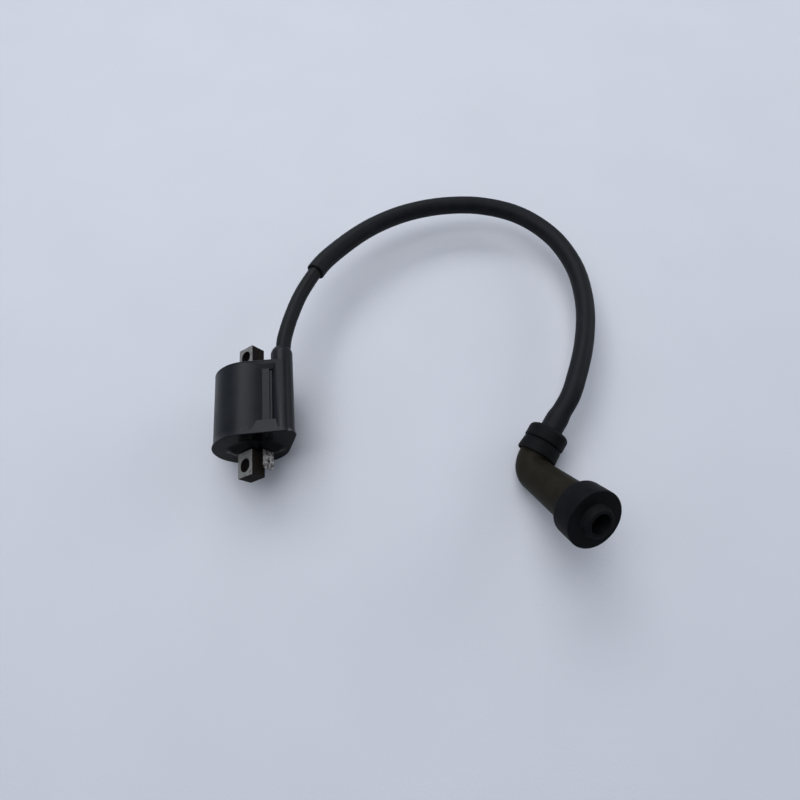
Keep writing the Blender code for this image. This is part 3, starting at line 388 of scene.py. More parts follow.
def worn_steel(look):
    """Silicon steel sheet, stamped: grey mill scale rubbed bright, with fine scratches and brown spots."""
    made, tree, place = new_material("stamped silicon steel", Metallic=0.6)
    stain = add_node(tree, "TexNoise",
                     {"Vector": place, "Scale": per_mm(2.2), "Detail": 6.0, "Roughness": 0.65})
    lengthened = add_node(tree, "Mapping", {"Vector": place, "Scale": (1.0, 0.08, 1.0)})
    lines = add_node(tree, "TexNoise", {"Vector": lengthened, "Scale": per_mm(0.3), "Detail": 3.0})
    bright = add_node(tree, "Mix", {0: lines, 6: shade(look.steel, 0.75), 7: shade(look.steel, 1.2)}, **BLEND)
    tone = cover(tree, bright, shade(look.oxide, 2.2), stain, 0.52, 0.72, 0.9)
    finish_surface(tree, tone, (stain, 0.35, 0.7, 0.34, 0.62), lines, 0.015 * MM)
    return made


def sheared_edge(look):
    """Silicon steel, sheared: the cut edges of the plates, dark brown with rust and old varnish."""
    made, tree, place = new_material("sheared rusted steel", Specular_IOR_Level=0.15)
    rust = add_node(tree, "TexNoise",
                    {"Vector": place, "Scale": per_mm(1.4), "Detail": 6.0, "Roughness": 0.7})
    pits = add_node(tree, "TexNoise", {"Vector": place, "Scale": per_mm(0.35), "Detail": 3.0})
    tone = cover(tree, shade(look.oxide, 0.6), shade(look.oxide, 1.9), rust, 0.35, 0.68)
    finish_surface(tree, tone, (rust, 0.3, 0.7, 0.55, 0.85), pits, 0.04 * MM)
    return made


def tinned_brass(look):
    """Brass tab, tin plated and stamped: bright silver with lengthwise streaks and grey tarnish."""
    made, tree, place = new_material("stamped tinned brass", Metallic=1.0)
    lengthened = add_node(tree, "Mapping", {"Vector": place, "Scale": (1.0, 0.1, 1.0)})
    streaks = add_node(tree, "TexNoise", {"Vector": lengthened, "Scale": per_mm(0.5), "Detail": 4.0})
    tarnish = add_node(tree, "TexNoise",
                       {"Vector": place, "Scale": per_mm(1.5), "Detail": 5.0, "Roughness": 0.6})
    bright = add_node(tree, "Mix", {0: streaks, 6: shade(look.tin, 0.7), 7: shade(look.tin, 1.25)}, **BLEND)
    tone = cover(tree, bright, shade(look.tin, 0.16), tarnish, 0.42, 0.58, 0.95)
    finish_surface(tree, tone, (tarnish, 0.35, 0.7, 0.26, 0.5), streaks, 0.02 * MM)
    return made


def extruded_rubber(name, tone, rough_low, rough_high):
    """Synthetic rubber, extruded: black, with faint die lines along its length and grey handling dust."""
    made, tree, place = new_material(name, IOR=1.5, Specular_IOR_Level=0.12)
    along = add_node(tree, "Attribute", output="Vector", attribute_name=UNROLLED)
    lengthened = add_node(tree, "Mapping", {"Vector": along, "Scale": (1.0, 1.0, 0.02)})
    die = add_node(tree, "TexNoise", {"Vector": lengthened, "Scale": per_mm(0.9), "Detail": 3.0})
    dust = add_node(tree, "TexNoise",
                    {"Vector": place, "Scale": per_mm(7.0), "Detail": 6.0, "Roughness": 0.6})
    dark = add_node(tree, "Mix", {0: die, 6: shade(tone, 0.8), 7: shade(tone, 1.2)}, **BLEND)
    dusty = cover(tree, dark, shade(tone, 1.7), dust, 0.42, 0.72)
    finish_surface(tree, dusty, (dust, 0.3, 0.7, rough_low, rough_high), die, 0.03 * MM)
    return made


def moulded_rubber(look):
    """Synthetic rubber, moulded: soft black with a dry grey bloom and a fine matt grain."""
    made, tree, place = new_material("moulded synthetic rubber", IOR=1.5, Specular_IOR_Level=0.06)
    bloom = add_node(tree, "TexNoise",
                     {"Vector": place, "Scale": per_mm(6.0), "Detail": 6.0, "Roughness": 0.6})
    # Tool grain of about 0.1 mm, drawn at 0.4 mm so that it shows
    grain = add_node(tree, "TexNoise", {"Vector": place, "Scale": per_mm(0.4), "Detail": 2.0})
    tone = cover(tree, shade(look.rubber, 0.85), shade(look.rubber, 1.6), bloom, 0.4, 0.7)
    finish_surface(tree, tone, (bloom, 0.3, 0.7, 0.5, 0.68), grain, 0.03 * MM)
    return made


def moulded_phenolic(look):
    """Wood-filled phenolic, moulded: olive brown with flow clouds, a dull polish and worn lighter spots."""
    made, tree, place = new_material("moulded brown phenolic", IOR=1.6, Specular_IOR_Level=0.05)
    flow = add_node(tree, "TexNoise",
                    {"Vector": place, "Scale": per_mm(8.0), "Detail": 5.0, "Distortion": 0.8})
    filler = add_node(tree, "TexNoise", {"Vector": place, "Scale": per_mm(0.5), "Detail": 3.0})
    tone = cover(tree, shade(look.phenolic, 0.75), shade(look.phenolic, 1.35), flow, 0.35, 0.68)
    tone = cover(tree, tone, shade(look.phenolic, 1.9), filler, 0.6, 0.75, 0.5)
    finish_surface(tree, tone, (flow, 0.3, 0.7, 0.42, 0.58), filler, 0.015 * MM)
    return made


def inner_material(name, code, metallic, rough, mark):
    """Finish of a piece that is closed in: its colour, clouded, with tool marks of a size in millimetres."""
    made, tree, place = new_material(name, Metallic=metallic)
    marks = add_node(tree, "TexNoise", {"Vector": place, "Scale": per_mm(mark), "Detail": 4.0})
    dark, light = shade(linear(code), 0.75), shade(linear(code), 1.2)
    tone = add_node(tree, "Mix", {0: marks, 6: dark, 7: light}, **BLEND)
    finish_surface(tree, tone, (marks, 0.3, 0.7, rough, rough + 0.15), marks, 0.02 * MM)
    return made


def wound_copper():
    """Enamelled copper wire, wound: amber brown, glossy, in close turns round the bar's axis."""
    made, tree, place = new_material("enamelled copper wire", Metallic=1.0, Coat_Weight=0.6)
    # Wire of about 0.1 mm, drawn 3 mm apart so that it shows, which is 0.5 mm for each radian of the wave
    wave = {"Vector": place, "Scale": per_mm(0.5) / WAVE_RADIANS, "Distortion": 0.3}
    turns = add_node(tree, "TexWave", wave, output="Fac", bands_direction="Y")
    dark, light = shade(linear("5A2A12"), 1.0), shade(linear("B4612E"), 1.0)
    tone = add_node(tree, "Mix", {0: turns, 6: dark, 7: light}, **BLEND)
    finish_surface(tree, tone, (turns, 0.0, 1.0, 0.42, 0.26), turns, 0.1 * MM)
    return made


def pale_cloth(look):
    """White photographic cloth: pale blue grey, matt, with a faint speckle of lint and weave."""
    made, tree, place = new_material("pale woven backdrop cloth", Specular_IOR_Level=0.2)
    # Threads of about 0.4 mm, drawn at 1.2 mm so that they show
    weave = add_node(tree, "TexNoise", {"Vector": place, "Scale": per_mm(1.2), "Detail": 3.0})
    clouds = add_node(tree, "TexNoise", {"Vector": place, "Scale": per_mm(60.0), "Detail": 2.0})
    dark, light = shade(look.floor_colour, 0.97), shade(look.floor_colour, 1.03)
    tone = add_node(tree, "Mix", {0: clouds, 6: dark, 7: light}, **BLEND)
    finish_surface(tree, tone, (weave, 0.3, 0.7, 0.85, 0.98), weave, 0.06 * MM)
    return made


def to_object(name, shape, materials=()):
    """Object at the origin from a shape, which is used up."""
    mesh = bpy.data.meshes.new(name)
    shape.to_mesh(mesh)
    shape.free()
    for finish in materials:
        mesh.materials.append(finish)
    made = bpy.data.objects.new(name, mesh)
    bpy.context.scene.collection.objects.link(made)
    return made


def dress(piece, body, slot, *replaced):
    """Shade a finished piece, and let it ride on its body in place of the solids it stands for."""
    piece.data.shade_smooth()
    piece.data.set_sharp_from_angle(angle=SHARP)
    even = piece.modifiers.new("even shading", "WEIGHTED_NORMAL")
    even.keep_sharp = True
    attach(piece, body)
    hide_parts(*replaced)
    return piece


def clean(shape):
    """Merge doubled points and turn all faces outwards."""
    bmesh.ops.remove_doubles(shape, verts=shape.verts, dist=SAME)
    bmesh.ops.recalc_face_normals(shape, faces=shape.faces)


def turned(profile, place, steps=72, segments=4):
    """Spin a profile of (radius, height, rounding) corners about Z, and put it in place."""
    shape = bmesh.new()
    corners = [shape.verts.new((radius, 0.0, height)) for radius, height, _ in profile]
    lines = [shape.edges.new(pair) for pair in zip(corners, corners[1:])]
    if profile[0][0] > 0.0:
        lines.append(shape.edges.new((corners[-1], corners[0])))
    for corner, (_, _, rounding) in zip(corners, profile):
        if rounding > 0.0:
            bmesh.ops.bevel(shape, geom=[corner], offset=rounding, affect="VERTICES",
                            segments=segments, profile=0.5, material=-1)
    bmesh.ops.spin(shape, geom=shape.verts[:] + shape.edges[:], cent=(0, 0, 0), axis=(0, 0, 1),
                   angle=FULL_TURN, steps=steps, use_merge=True)
    clean(shape)
    bmesh.ops.transform(shape, matrix=place, verts=shape.verts)
    return shape


def rod(radius, low, high, place, steps=72):
    """Plain round bar between two heights."""
    profile = [(0.0, low, 0.0), (radius, low, 0.0), (radius, high, 0.0), (0.0, high, 0.0)]
    return turned(profile, place, steps)


def raise_faces(shape, faces, step):
    """Extrude faces by a step."""
    grown = bmesh.ops.extrude_face_region(shape, geom=faces)["geom"]
    moved = [item for item in grown if isinstance(item, bmesh.types.BMVert)]
    bmesh.ops.translate(shape, verts=moved, vec=step)


def round_edges(shape, edges, rounding, segments=3):
    """Bevel edges to a round."""
    bmesh.ops.bevel(shape, geom=list(edges), offset=rounding, offset_type="OFFSET", affect="EDGES",
                    segments=segments, profile=0.5, material=-1, clamp_overlap=True)


def teardrop(big, small, low, high, rounds, insets, place):
    """Prism along Y round the barrel and the tower, joined by the two planes that touch both.

    Its near and far end are drawn in by the insets, and their edges have the rounds."""
    shape = bmesh.new()
    lean = math.pi / 2 - math.asin((big - small) / TOWER_OFFSET)
    # Centre, radius, start, angle and steps of each
    arcs = ((0.0, big, lean, FULL_TURN - 2 * lean, 96), (TOWER_OFFSET, small, -lean, 2 * lean, 32))
    for centre, radius, start, angle, steps in arcs:
        first = shape.verts.new((centre + radius * math.cos(start), low, radius * math.sin(start)))
        bmesh.ops.spin(shape, geom=[first], cent=(centre, low, 0.0), axis=(0, -1, 0),
                       angle=angle, steps=steps)
    base = shape.faces.new(shape.verts[:])
    raise_faces(shape, [base], (0.0, high - low, 0.0))
    bmesh.ops.recalc_face_normals(shape, faces=shape.faces)
    for level, rounding, inset in zip((low, high), rounds, insets):
        end = [v for v in shape.verts if abs(v.co.y - level) < ON_LEVEL]
        for vert in end:
            on_barrel = abs(math.hypot(vert.co.x, vert.co.z) - big) < ON_LEVEL
            axis = Vector((0.0 if on_barrel else TOWER_OFFSET, level, 0.0))
            vert.co += (axis - vert.co).normalized() * inset
        if rounding > 0.0:
            round_edges(shape, [e for e in shape.edges if all(v in end for v in e.verts)], rounding)
    bmesh.ops.transform(shape, matrix=place, verts=shape.verts)
    return shape


def block(low, high, place, rounding=0.0):
    """Box between two corners, with its edges rounded."""
    shape = bmesh.new()
    bmesh.ops.create_cube(shape, size=1.0)
    size = Vector(high) - Vector(low)
    bmesh.ops.scale(shape, vec=size, verts=shape.verts)
    bmesh.ops.translate(shape, vec=(Vector(low) + Vector(high)) / 2, verts=shape.verts)
    if rounding > 0.0:
        round_edges(shape, shape.edges[:], rounding)
    bmesh.ops.transform(shape, matrix=place, verts=shape.verts)
    return shape


def carved(name, base, additions, cutters, materials):
    """One closed piece: the additions are joined to the base, then the cutters are taken away."""
    piece = to_object(name, base, materials)
    groups = []
    for operation, shapes in (("UNION", additions), ("DIFFERENCE", cutters)):
        if shapes:
            groups.append(bpy.data.collections.new(operation))
            for shape in shapes:
                groups[-1].objects.link(to_object("tool", shape))
            step = piece.modifiers.new(operation, "BOOLEAN")
            step.operation = operation
            step.solver = "EXACT"
            step.operand_type = "COLLECTION"
            step.collection = groups[-1]
    view = bpy.context.evaluated_depsgraph_get()
    shape = bmesh.new()
    shape.from_mesh(piece.evaluated_get(view).data)
    bmesh.ops.dissolve_degenerate(shape, dist=WELD, edges=shape.edges[:])
    bmesh.ops.remove_doubles(shape, verts=shape.verts[:], dist=WELD)
    piece.modifiers.clear()
    shape.to_mesh(piece.data)
    loose = sum(1 for edge in shape.edges if len(edge.link_faces) != 2)
    shape.free()
    if loose:
        raise RuntimeError(f"{name} has {loose} open edges")
    for group in groups:
        for tool in list(group.objects):
            spent = tool.data
            bpy.data.objects.remove(tool)
            bpy.data.meshes.remove(spent)
        bpy.data.collections.remove(group)
    return piece


def rounded_step(a, b, c, d, share):
    """Point at a share of the way from b to c, on a curve whose slopes allow for uneven spacing."""
    first, span, last = (b - a).length, (c - b).length, (d - c).length
    leave = ((b - a) / first * span + (c - b) / span * first) / (first + span)
    arrive = ((c - b) / span * last + (d - c) / last * span) / (span + last)
    s, t = 1.0 - share, share
    bend = s * s * t * leave * span - s * t * t * arrive * span
    return b * (s * s * (1 + 2 * t)) + c * (t * t * (3 - 2 * t)) + bend


def smooth_path(points, spacing):
    """Points at about the given spacing on a smooth curve through the route's own points."""
    padded = [points[0] * 2 - points[1]] + points + [points[-1] * 2 - points[-2]]
    path = [points[0]]
    for a, b, c, d in zip(padded, padded[1:], padded[2:], padded[3:]):
        steps = max(1, round((c - b).length / spacing))
        path += [rounded_step(a, b, c, d, step / steps) for step in range(1, steps + 1)]
    return path


def eased(share):
    """A share, held between 0 and 1, with a soft start and a soft end."""
    share = min(1.0, max(0.0, share))
    return share * share * (3 - 2 * share)


def path_length(path):
    """Length of a path over all."""
    return sum((end - start).length for start, end in zip(path, path[1:]))


def travelled(path):
    """Distance along a path at each of its points."""
    marks = [0.0]
    for start, end in zip(path, path[1:]):
        marks.append(marks[-1] + (end - start).length)
    return marks


def split_path(path, distance):
    """Cut a path in two at a distance along it, both parts ending in the same point."""
    passed = 0.0
    for index, (start, end) in enumerate(zip(path, path[1:])):
        span = (end - start).length
        if passed + span > distance:
            cut = start.lerp(end, (distance - passed) / span)
            return path[:index + 1] + [cut], [cut] + path[index + 1:]
        passed += span
    return path, [path[-1]]


def stations(path):
    """Frames along a path with Z along it, turned as little as can be."""
    ends = zip(path[:1] + path, path[1:] + path[-1:])
    ahead = [(after - before).normalized() for before, after in ends]
    turn = ahead[0].to_track_quat("Z", "Y")
    frames = []
    for index, (point, way) in enumerate(zip(path, ahead)):
        if index:
            turn = ahead[index - 1].rotation_difference(way) @ turn
        frames.append(Matrix.Translation(point) @ turn.to_matrix().to_4x4())
    return frames


def sweep(rings, sides, closed=False):
    """Carry a circle through rings of (frame, radius, distance), with caps, or joined end to start.

    Each point keeps its place on the unrolled tube, which the patterns follow."""
    shape = bmesh.new()
    trace = shape.verts.layers.float_vector.new(UNROLLED)
    loop = bmesh.ops.create_circle(shape, segments=sides, radius=1.0)["verts"]
    spokes = [vert.co.copy() for vert in loop]
    edges = shape.edges[:]
    ends = []
    for index, (place, radius, distance) in enumerate(rings):
        if index:
            grown = bmesh.ops.extrude_edge_only(shape, edges=edges)["geom"]
            fresh = set(grown)
            edges = [item for item in grown if isinstance(item, bmesh.types.BMEdge)]
            edges = [edge for edge in edges if all(vert in fresh for vert in edge.verts)]
            shape.verts.ensure_lookup_table()
            loop = shape.verts[index * sides:(index + 1) * sides]
        for vert, spoke in zip(loop, spokes):
            vert.co = place @ (spoke * radius)
            vert[trace] = (spoke.x * radius, spoke.y * radius, distance)
        if index in (0, len(rings) - 1):
            ends.append(list(edges))
    if closed:
        bmesh.ops.bridge_loops(shape, edges=ends[0] + ends[1])
    else:
        for rim in ends:
            bmesh.ops.edgeloop_fill(shape, edges=rim)
    bmesh.ops.recalc_face_normals(shape, faces=shape.faces)
    return shape


LEAD_STEP = 2.0 * MM
LEAD_SIDES = 40
PIN_IN_LEAD = 8.0 * MM  # how far the tower's pin stands in the lead's end


def on_tower_axis(y):
    """Place on the tower's axis."""
    return COIL @ Vector((TOWER_OFFSET, y, 0.0))


def lead_mouth(look):
    """Where the lead leaves the tower."""
    return on_tower_axis(HOUSING_HIGH.y) + Vector((look.lean, 0.0, 0.0))


def lead_path(scene):
    """Path of the lead, from the pin in the tower to the cap's screw."""
    look, cap = scene.lead_look, scene.cap_look
    inner_end = on_tower_axis(PIN_HIGH.y - PIN_IN_LEAD + CLEARANCE)
    bend = on_tower_axis(HOUSING_HIGH.y - look.lean_length)
    nose_end = cap.seal_end + cap.nose_length
    heights = (nose_end + 4 * look.flare_taper, nose_end, look.stop)
    leg_points = [CABLE_LEG @ Vector((0.0, 0.0, height)) for height in heights]
    route = [Vector(point) for point in LEAD_ROUTE]
    return smooth_path([inner_end, bend, lead_mouth(look), *route, *leg_points], LEAD_STEP)


OBJECT_MIDDLE = Vector((0.08, 0.03, 0.0))  # on the floor, under the object
BRIGHT_SIDE = (-0.3, 0.74, 0.6)  # direction in which the sky is brightest
SKY_SHARES = (0.45, 1.9)  # of its strength, away from the bright side and on it
FLOOR_REACH = 3.0
FLOOR_DROP = Vector((0.0, 0.0, 0.1 * MM))  # keeps the floor from sharing a plane with what lies on it


class MakeStage(bpy.types.Operator):
    """Camera, lamps, sky and floor"""
    bl_idname = "ignition_coil.make_stage"
    bl_label = "Stage"

    def execute(self, context):
        look = context.scene.stage_look
        lens = bpy.data.cameras.new("camera")
        lens.lens = look.lens
        lens.sensor_width = 36.0
        lens.clip_start = 0.01
        camera = bpy.data.objects.new("camera", lens)
        aim = Vector(look.camera_aim).normalized()
        right = Vector(look.camera_right).normalized()
        camera.matrix_world = upright(right, right.cross(aim), -aim, Vector(look.camera_place))
        context.scene.collection.objects.link(camera)
        context.scene.camera = camera

        # Power, width and height, and the place from the object's middle
        lamps = (("softbox", look.lamp_watts, (0.8, 0.8), Vector((-0.23, 0.07, 0.86))),
                 ("window", look.window_watts, (1.0, 0.5), Vector((-0.15, 0.95, 0.95))),
                 ("fill card", look.fill_watts, (0.6, 0.4), Vector((0.85, 0.25, 0.42))))
        for name, watts, size, offset in lamps:
            glow = bpy.data.lights.new(name, "AREA")
            glow.shape = "RECTANGLE"
            glow.size, glow.size_y = size
            glow.energy = watts
            lamp = bpy.data.objects.new(name, glow)
            lamp.location = OBJECT_MIDDLE + offset
            lamp.rotation_mode = "QUATERNION"
            lamp.rotation_quaternion = (-offset).to_track_quat("-Z", "Y")
            context.scene.collection.objects.link(lamp)

        sky = bpy.data.worlds.new("sky")
        sky.use_nodes = True
        tree = sky.node_tree
        backdrop = tree.nodes["Background"]
        backdrop.inputs["Color"].default_value = (*look.sky_colour, 1.0)
        way = add_node(tree, "TexCoord", output="Generated")
        behind = add_node(tree, "VectorMath", {0: way, 1: BRIGHT_SIDE},
                          output="Value", operation="DOT_PRODUCT")
        dim, bright = (look.sky * share for share in SKY_SHARES)
        level = add_node(tree, "MapRange", {0: behind, 1: 0.0, 2: 1.0, 3: dim, 4: bright})
        tree.links.new(level, backdrop.inputs["Strength"])
        context.scene.world = sky
        context.scene.view_settings.view_transform = "Standard"

        shape = bmesh.new()
        bmesh.ops.create_grid(shape, x_segments=8, y_segments=8, size=FLOOR_REACH)
        bmesh.ops.translate(shape, verts=shape.verts, vec=OBJECT_MIDDLE - FLOOR_DROP)
        to_object("floor", shape, [pale_cloth(look)])
        return {"FINISHED"}


SLEEVE_CHAMFER = (0.25, 0.3)  # share of the sleeve's wall that its ends lose, along it and across


class MakeLead(bpy.types.Operator):
    """High-tension lead and the sleeve over most of it"""
    bl_idname = "ignition_coil.make_lead"
    bl_label = "Lead and sleeve"

    def execute(self, context):
        look, cap = context.scene.lead_look, context.scene.cap_look
        path = lead_path(context.scene)
        rings = [(place, look.diameter / 2, mark) for place, mark in zip(stations(path), travelled(path))]
        rubber = extruded_rubber("extruded lead rubber", look.lead_rubber, 0.4, 0.55)
        lead = to_object("lead", sweep(rings, LEAD_SIDES), [rubber])
        dress(lead, COIL_BODY, "lead_rubber", "ht_lead")

        inside = (lead_mouth(look) - path[0]).length
        covered = split_path(path, inside + look.sleeve_setback)[1]
        hidden = cap.seal_end + CLEARANCE - look.stop
        covered = split_path(covered, path_length(covered) - hidden)[0]
        marks = travelled(covered)
        wide, wall = look.sleeve_diameter / 2, look.sleeve_wall
        outer, inner = [], []
        flare_end = marks[-1] - cap.nose_length
        for place, mark in zip(stations(covered), marks):
            grown = eased((mark - flare_end + look.flare_taper) / look.flare_taper)
            radius = wide * (1.0 + (look.sleeve_flare - 1.0) * grown)
            outer.append((place, radius, mark))
            inner.append((place, radius - wall, mark))
        along, across = (share * wall for share in SLEEVE_CHAMFER)
        ends = []
        for (place, radius, mark), step in ((outer[0], along), (outer[-1], -along)):
            shifted = place @ Matrix.Translation((0, 0, step))
            ends.append([(place, radius - across, mark), (shifted, radius, mark)])
        rings = ends[0] + outer[1:-1] + ends[1][::-1] + inner[::-1]
        rubber = extruded_rubber("extruded sleeve rubber", look.sleeve_rubber, 0.46, 0.62)
        sleeve = to_object("sleeve", sweep(rings, LEAD_SIDES, closed=True), [rubber])
        dress(sleeve, COIL_BODY, "sleeve_rubber", "lead_sleeve")
        return {"FINISHED"}


DRUM_STEPS = 144
DRUM_RINGS = 12  # along the drum, which keep the shading of its ends from running along it
SLIVER = 0.05 * MM  # keeps shapes that are joined from sharing a surface
SNUG = 0.06 * MM  # room round the lead in the tower
BORE_OVERRUN = 12.0 * MM  # how far the cut for the lead goes on outside the tower
RIDGE_ROOT = 1.0 * MM  # how deep the parting ridges stand in the case
FACING = 0.95  # cosine past which a face looks along the bar
PARALLEL = 0.99999  # cosine past which a face lies in a flank
FAINTEST = math.radians(0.5)  # least turn of an edge that is made sharp


class MakeHousing(bpy.types.Operator):
    """Moulded case: flared lip, sloping end blocks, barrel joined to the lead tower by webs"""
    bl_idname = "ignition_coil.make_housing"
    bl_label = "Housing"

    def execute(self, context):
        look, lead = context.scene.coil_look, context.scene.lead_look
        near, mouth = HOUSING_LOW.y - look.near_reach, HOUSING_HIGH.y
        barrel, tower_radius, edge = look.barrel_radius, look.tower_radius, look.edge_round
        flare = -HOUSING_LOW.x - barrel
        overlap = look.far_length - look.far_plate / 2
        lip = teardrop(barrel + flare, tower_radius + flare, near, near + look.lip_width,
                       (edge, 0.0), (0.0, flare + SLIVER), COIL)
        end_block = teardrop(barrel + SLIVER, tower_radius + SLIVER, near + SLIVER, near + look.block_length,
                             (0.0, 0.0), (0.0, look.block_draft), COIL)
        far_block = teardrop(barrel + SLIVER, tower_radius + SLIVER,
                             look.far_length - look.far_block, look.far_length,
                             (0.0, edge), (look.far_draft, 0.0), COIL)
        along = COIL @ LENGTHWISE
        start, foot = near + look.lip_width / 2, near + look.lip_width / 3
        heights = [start + (overlap - start) * ring / DRUM_RINGS for ring in range(DRUM_RINGS + 1)]
        rings = [(barrel, height, 0.0) for height in heights]
        drum = turned([(0.0, start, 0.0), *rings, (0.0, overlap, 0.0)], along, DRUM_STEPS)
        dome = look.tower_dome
        tower = turned([(0.0, foot, 0.0), (tower_radius, foot, 0.0), (tower_radius, mouth - 1.5 * dome, dome),
                        (tower_radius - dome, mouth, 0.6 * dome), (0.0, mouth, 0.0)],
                       TOWER @ LENGTHWISE, segments=8)
        webs = []
        lean = math.asin((barrel - tower_radius) / TOWER_OFFSET)
        top = barrel - look.web_depth
        for sign in (1, -1):
            tilt = COIL @ Matrix.Rotation(sign * lean, 4, "Y")
            for drop, reach in ((0.0, look.web_end), (look.web_groove, TOWER_OFFSET * math.cos(lean))):
                low, high = sorted((sign * (top - drop), sign * (top - drop - look.web_thickness)))
                webs.append(block((look.web_start - drop, near + look.lip_width + drop, low),
                                  (reach, overlap - drop / 4 - 2 * SLIVER, high), tilt))
        ridges = []
        wide, proud = look.parting_width / 2, look.parting_height
        turned_tower = TOWER @ Matrix.Rotation(-look.parting_turn, 4, "Y")
        for inner, outer, end, place in (
                (-barrel - proud, RIDGE_ROOT - barrel, look.far_length - edge, COIL),
                (tower_radius - RIDGE_ROOT, tower_radius + proud, mouth - 2.5 * dome, turned_tower)):
            ridges.append(block((inner, near + edge, -wide), (outer, end, wide), place, 0.6 * proud))
        seat = rod(barrel + flare - look.resin_rim, 2 * near, near + look.resin_step, along, DRUM_STEPS)
        cavity_end = look.far_length - look.far_plate - CLEARANCE
        cavity = rod(barrel - look.wall, 2 * near, cavity_end, along, DRUM_STEPS)
        window = block((CORE_LOW.x - CLEARANCE, 0.0, CORE_LOW.z - CLEARANCE),
                       (CORE_HIGH.x + CLEARANCE, 2 * look.far_length, CORE_HIGH.z + CLEARANCE), COIL)
        leaving = split_path(lead_path(context.scene), 2 * (mouth - PIN_HIGH.y) + BORE_OVERRUN)[0]
        snug = lead.diameter / 2 + SNUG
        bore = sweep([(place, snug, 0.0) for place in stations(leaving)], LEAD_SIDES)
        shell = carved("housing", lip, [end_block, drum, tower, *webs, far_block, *ridges],
                       [seat, cavity, window, bore], [moulded_nylon(look), cast_resin(look)])
        # The poured resin also wets the rim that faces the near end
        for side in shell.data.polygons:
            inward = COIL.inverted() @ side.center
            if side.normal.dot(BAR_AXIS) < -FACING and inward.y < near + edge:
                side.material_index = 1
        dress(shell, COIL_BODY, "case_nylon", "coil_housing")
        slopes = (look.block_draft / look.block_length, -look.far_draft / look.far_block, 0.0)
        flats = [COIL.to_3x3() @ Vector((math.sin(lean), slope, sign * math.cos(lean))).normalized()
                 for slope in slopes for sign in (1, -1)]
        self.crease(shell.data, flats)
        return {"FINISHED"}

    @staticmethod
    def crease(mesh, flats):
        """Make the edges of the flat flanks sharp, also where they run out into the barrel."""
        shape = bmesh.new()
        shape.from_mesh(mesh)
        for edge in shape.edges:
            if len(edge.link_faces) == 2 and edge.calc_face_angle() > FAINTEST:
                kinds = [any(flat.dot(face.normal) > PARALLEL for flat in flats) for face in edge.link_faces]
                if kinds[0] != kinds[1]:
                    edge.smooth = False
        shape.to_mesh(mesh)
        shape.free()


FACE_RINGS = 64  # cuts of the resin's face, on which its mound is shaped
FACE_STEPS = 192


class MakeResin(bpy.types.Operator):
    """Resin that closes the case, with a low mound round the bar and the tab"""
    bl_idname = "ignition_coil.make_resin"
    bl_label = "Resin"

    def execute(self, context):
        look = context.scene.coil_look
        near = HOUSING_LOW.y - look.near_reach
        face, step, back = near + look.resin_recess, near + look.resin_step, RESIN_HIGH.y
        radius, neck = -HOUSING_LOW.x - look.resin_rim, look.barrel_radius - look.wall
        shape = bmesh.new()
        corners = [(0.0, face), (radius, face), (radius, step), (neck, step), (neck, back), (0.0, back)]
        points = [shape.verts.new((x, y, 0.0)) for x, y in corners]
        lines = [shape.edges.new(pair) for pair in zip(points, points[1:])]
        bmesh.ops.subdivide_edges(shape, edges=lines[:1], cuts=FACE_RINGS)
        bmesh.ops.spin(shape, geom=shape.verts[:] + shape.edges[:], cent=(0, 0, 0), axis=(0, 1, 0),
                       angle=FULL_TURN, steps=FACE_STEPS, use_merge=True)
        clean(shape)
        rise = face - RESIN_LOW.y + look.mound_proud
        bars = ((CORE_LOW, CORE_HIGH), (BLADE_LOW, BLADE_HIGH))
        for vert in shape.verts:
            if vert.co.y < face + ON_LEVEL:
                away = min(self.clear_of(vert.co, *bar) for bar in bars)
                vert.co.y -= rise * (1 - eased((away - look.mound_margin) / look.mound_slope))
        bmesh.ops.transform(shape, matrix=COIL, verts=shape.verts)
        dress(to_object("resin", shape, [cast_resin(look)]), COIL_BODY, "potting_resin", "potting_fill")
        return {"FINISHED"}

    @staticmethod
    def clear_of(point, low, high):
        """Distance from a point to the side of a bar along Y."""
        across = max(low.x - point.x, 0.0, point.x - high.x)
        up = max(low.z - point.z, 0.0, point.z - high.z)
        return math.hypot(across, up)


PLATE_ROUND = 0.07 * MM
PLATE_CORNER = math.radians(60.0)  # edges that turn more than this are a plate's rims
FACE_DEPTH = 0.1 * MM  # faces this near to the stack's top or underside are worn bright
LEVEL_SHARE = 0.3  # of a face's normal along the stack, past which it is no sheared edge


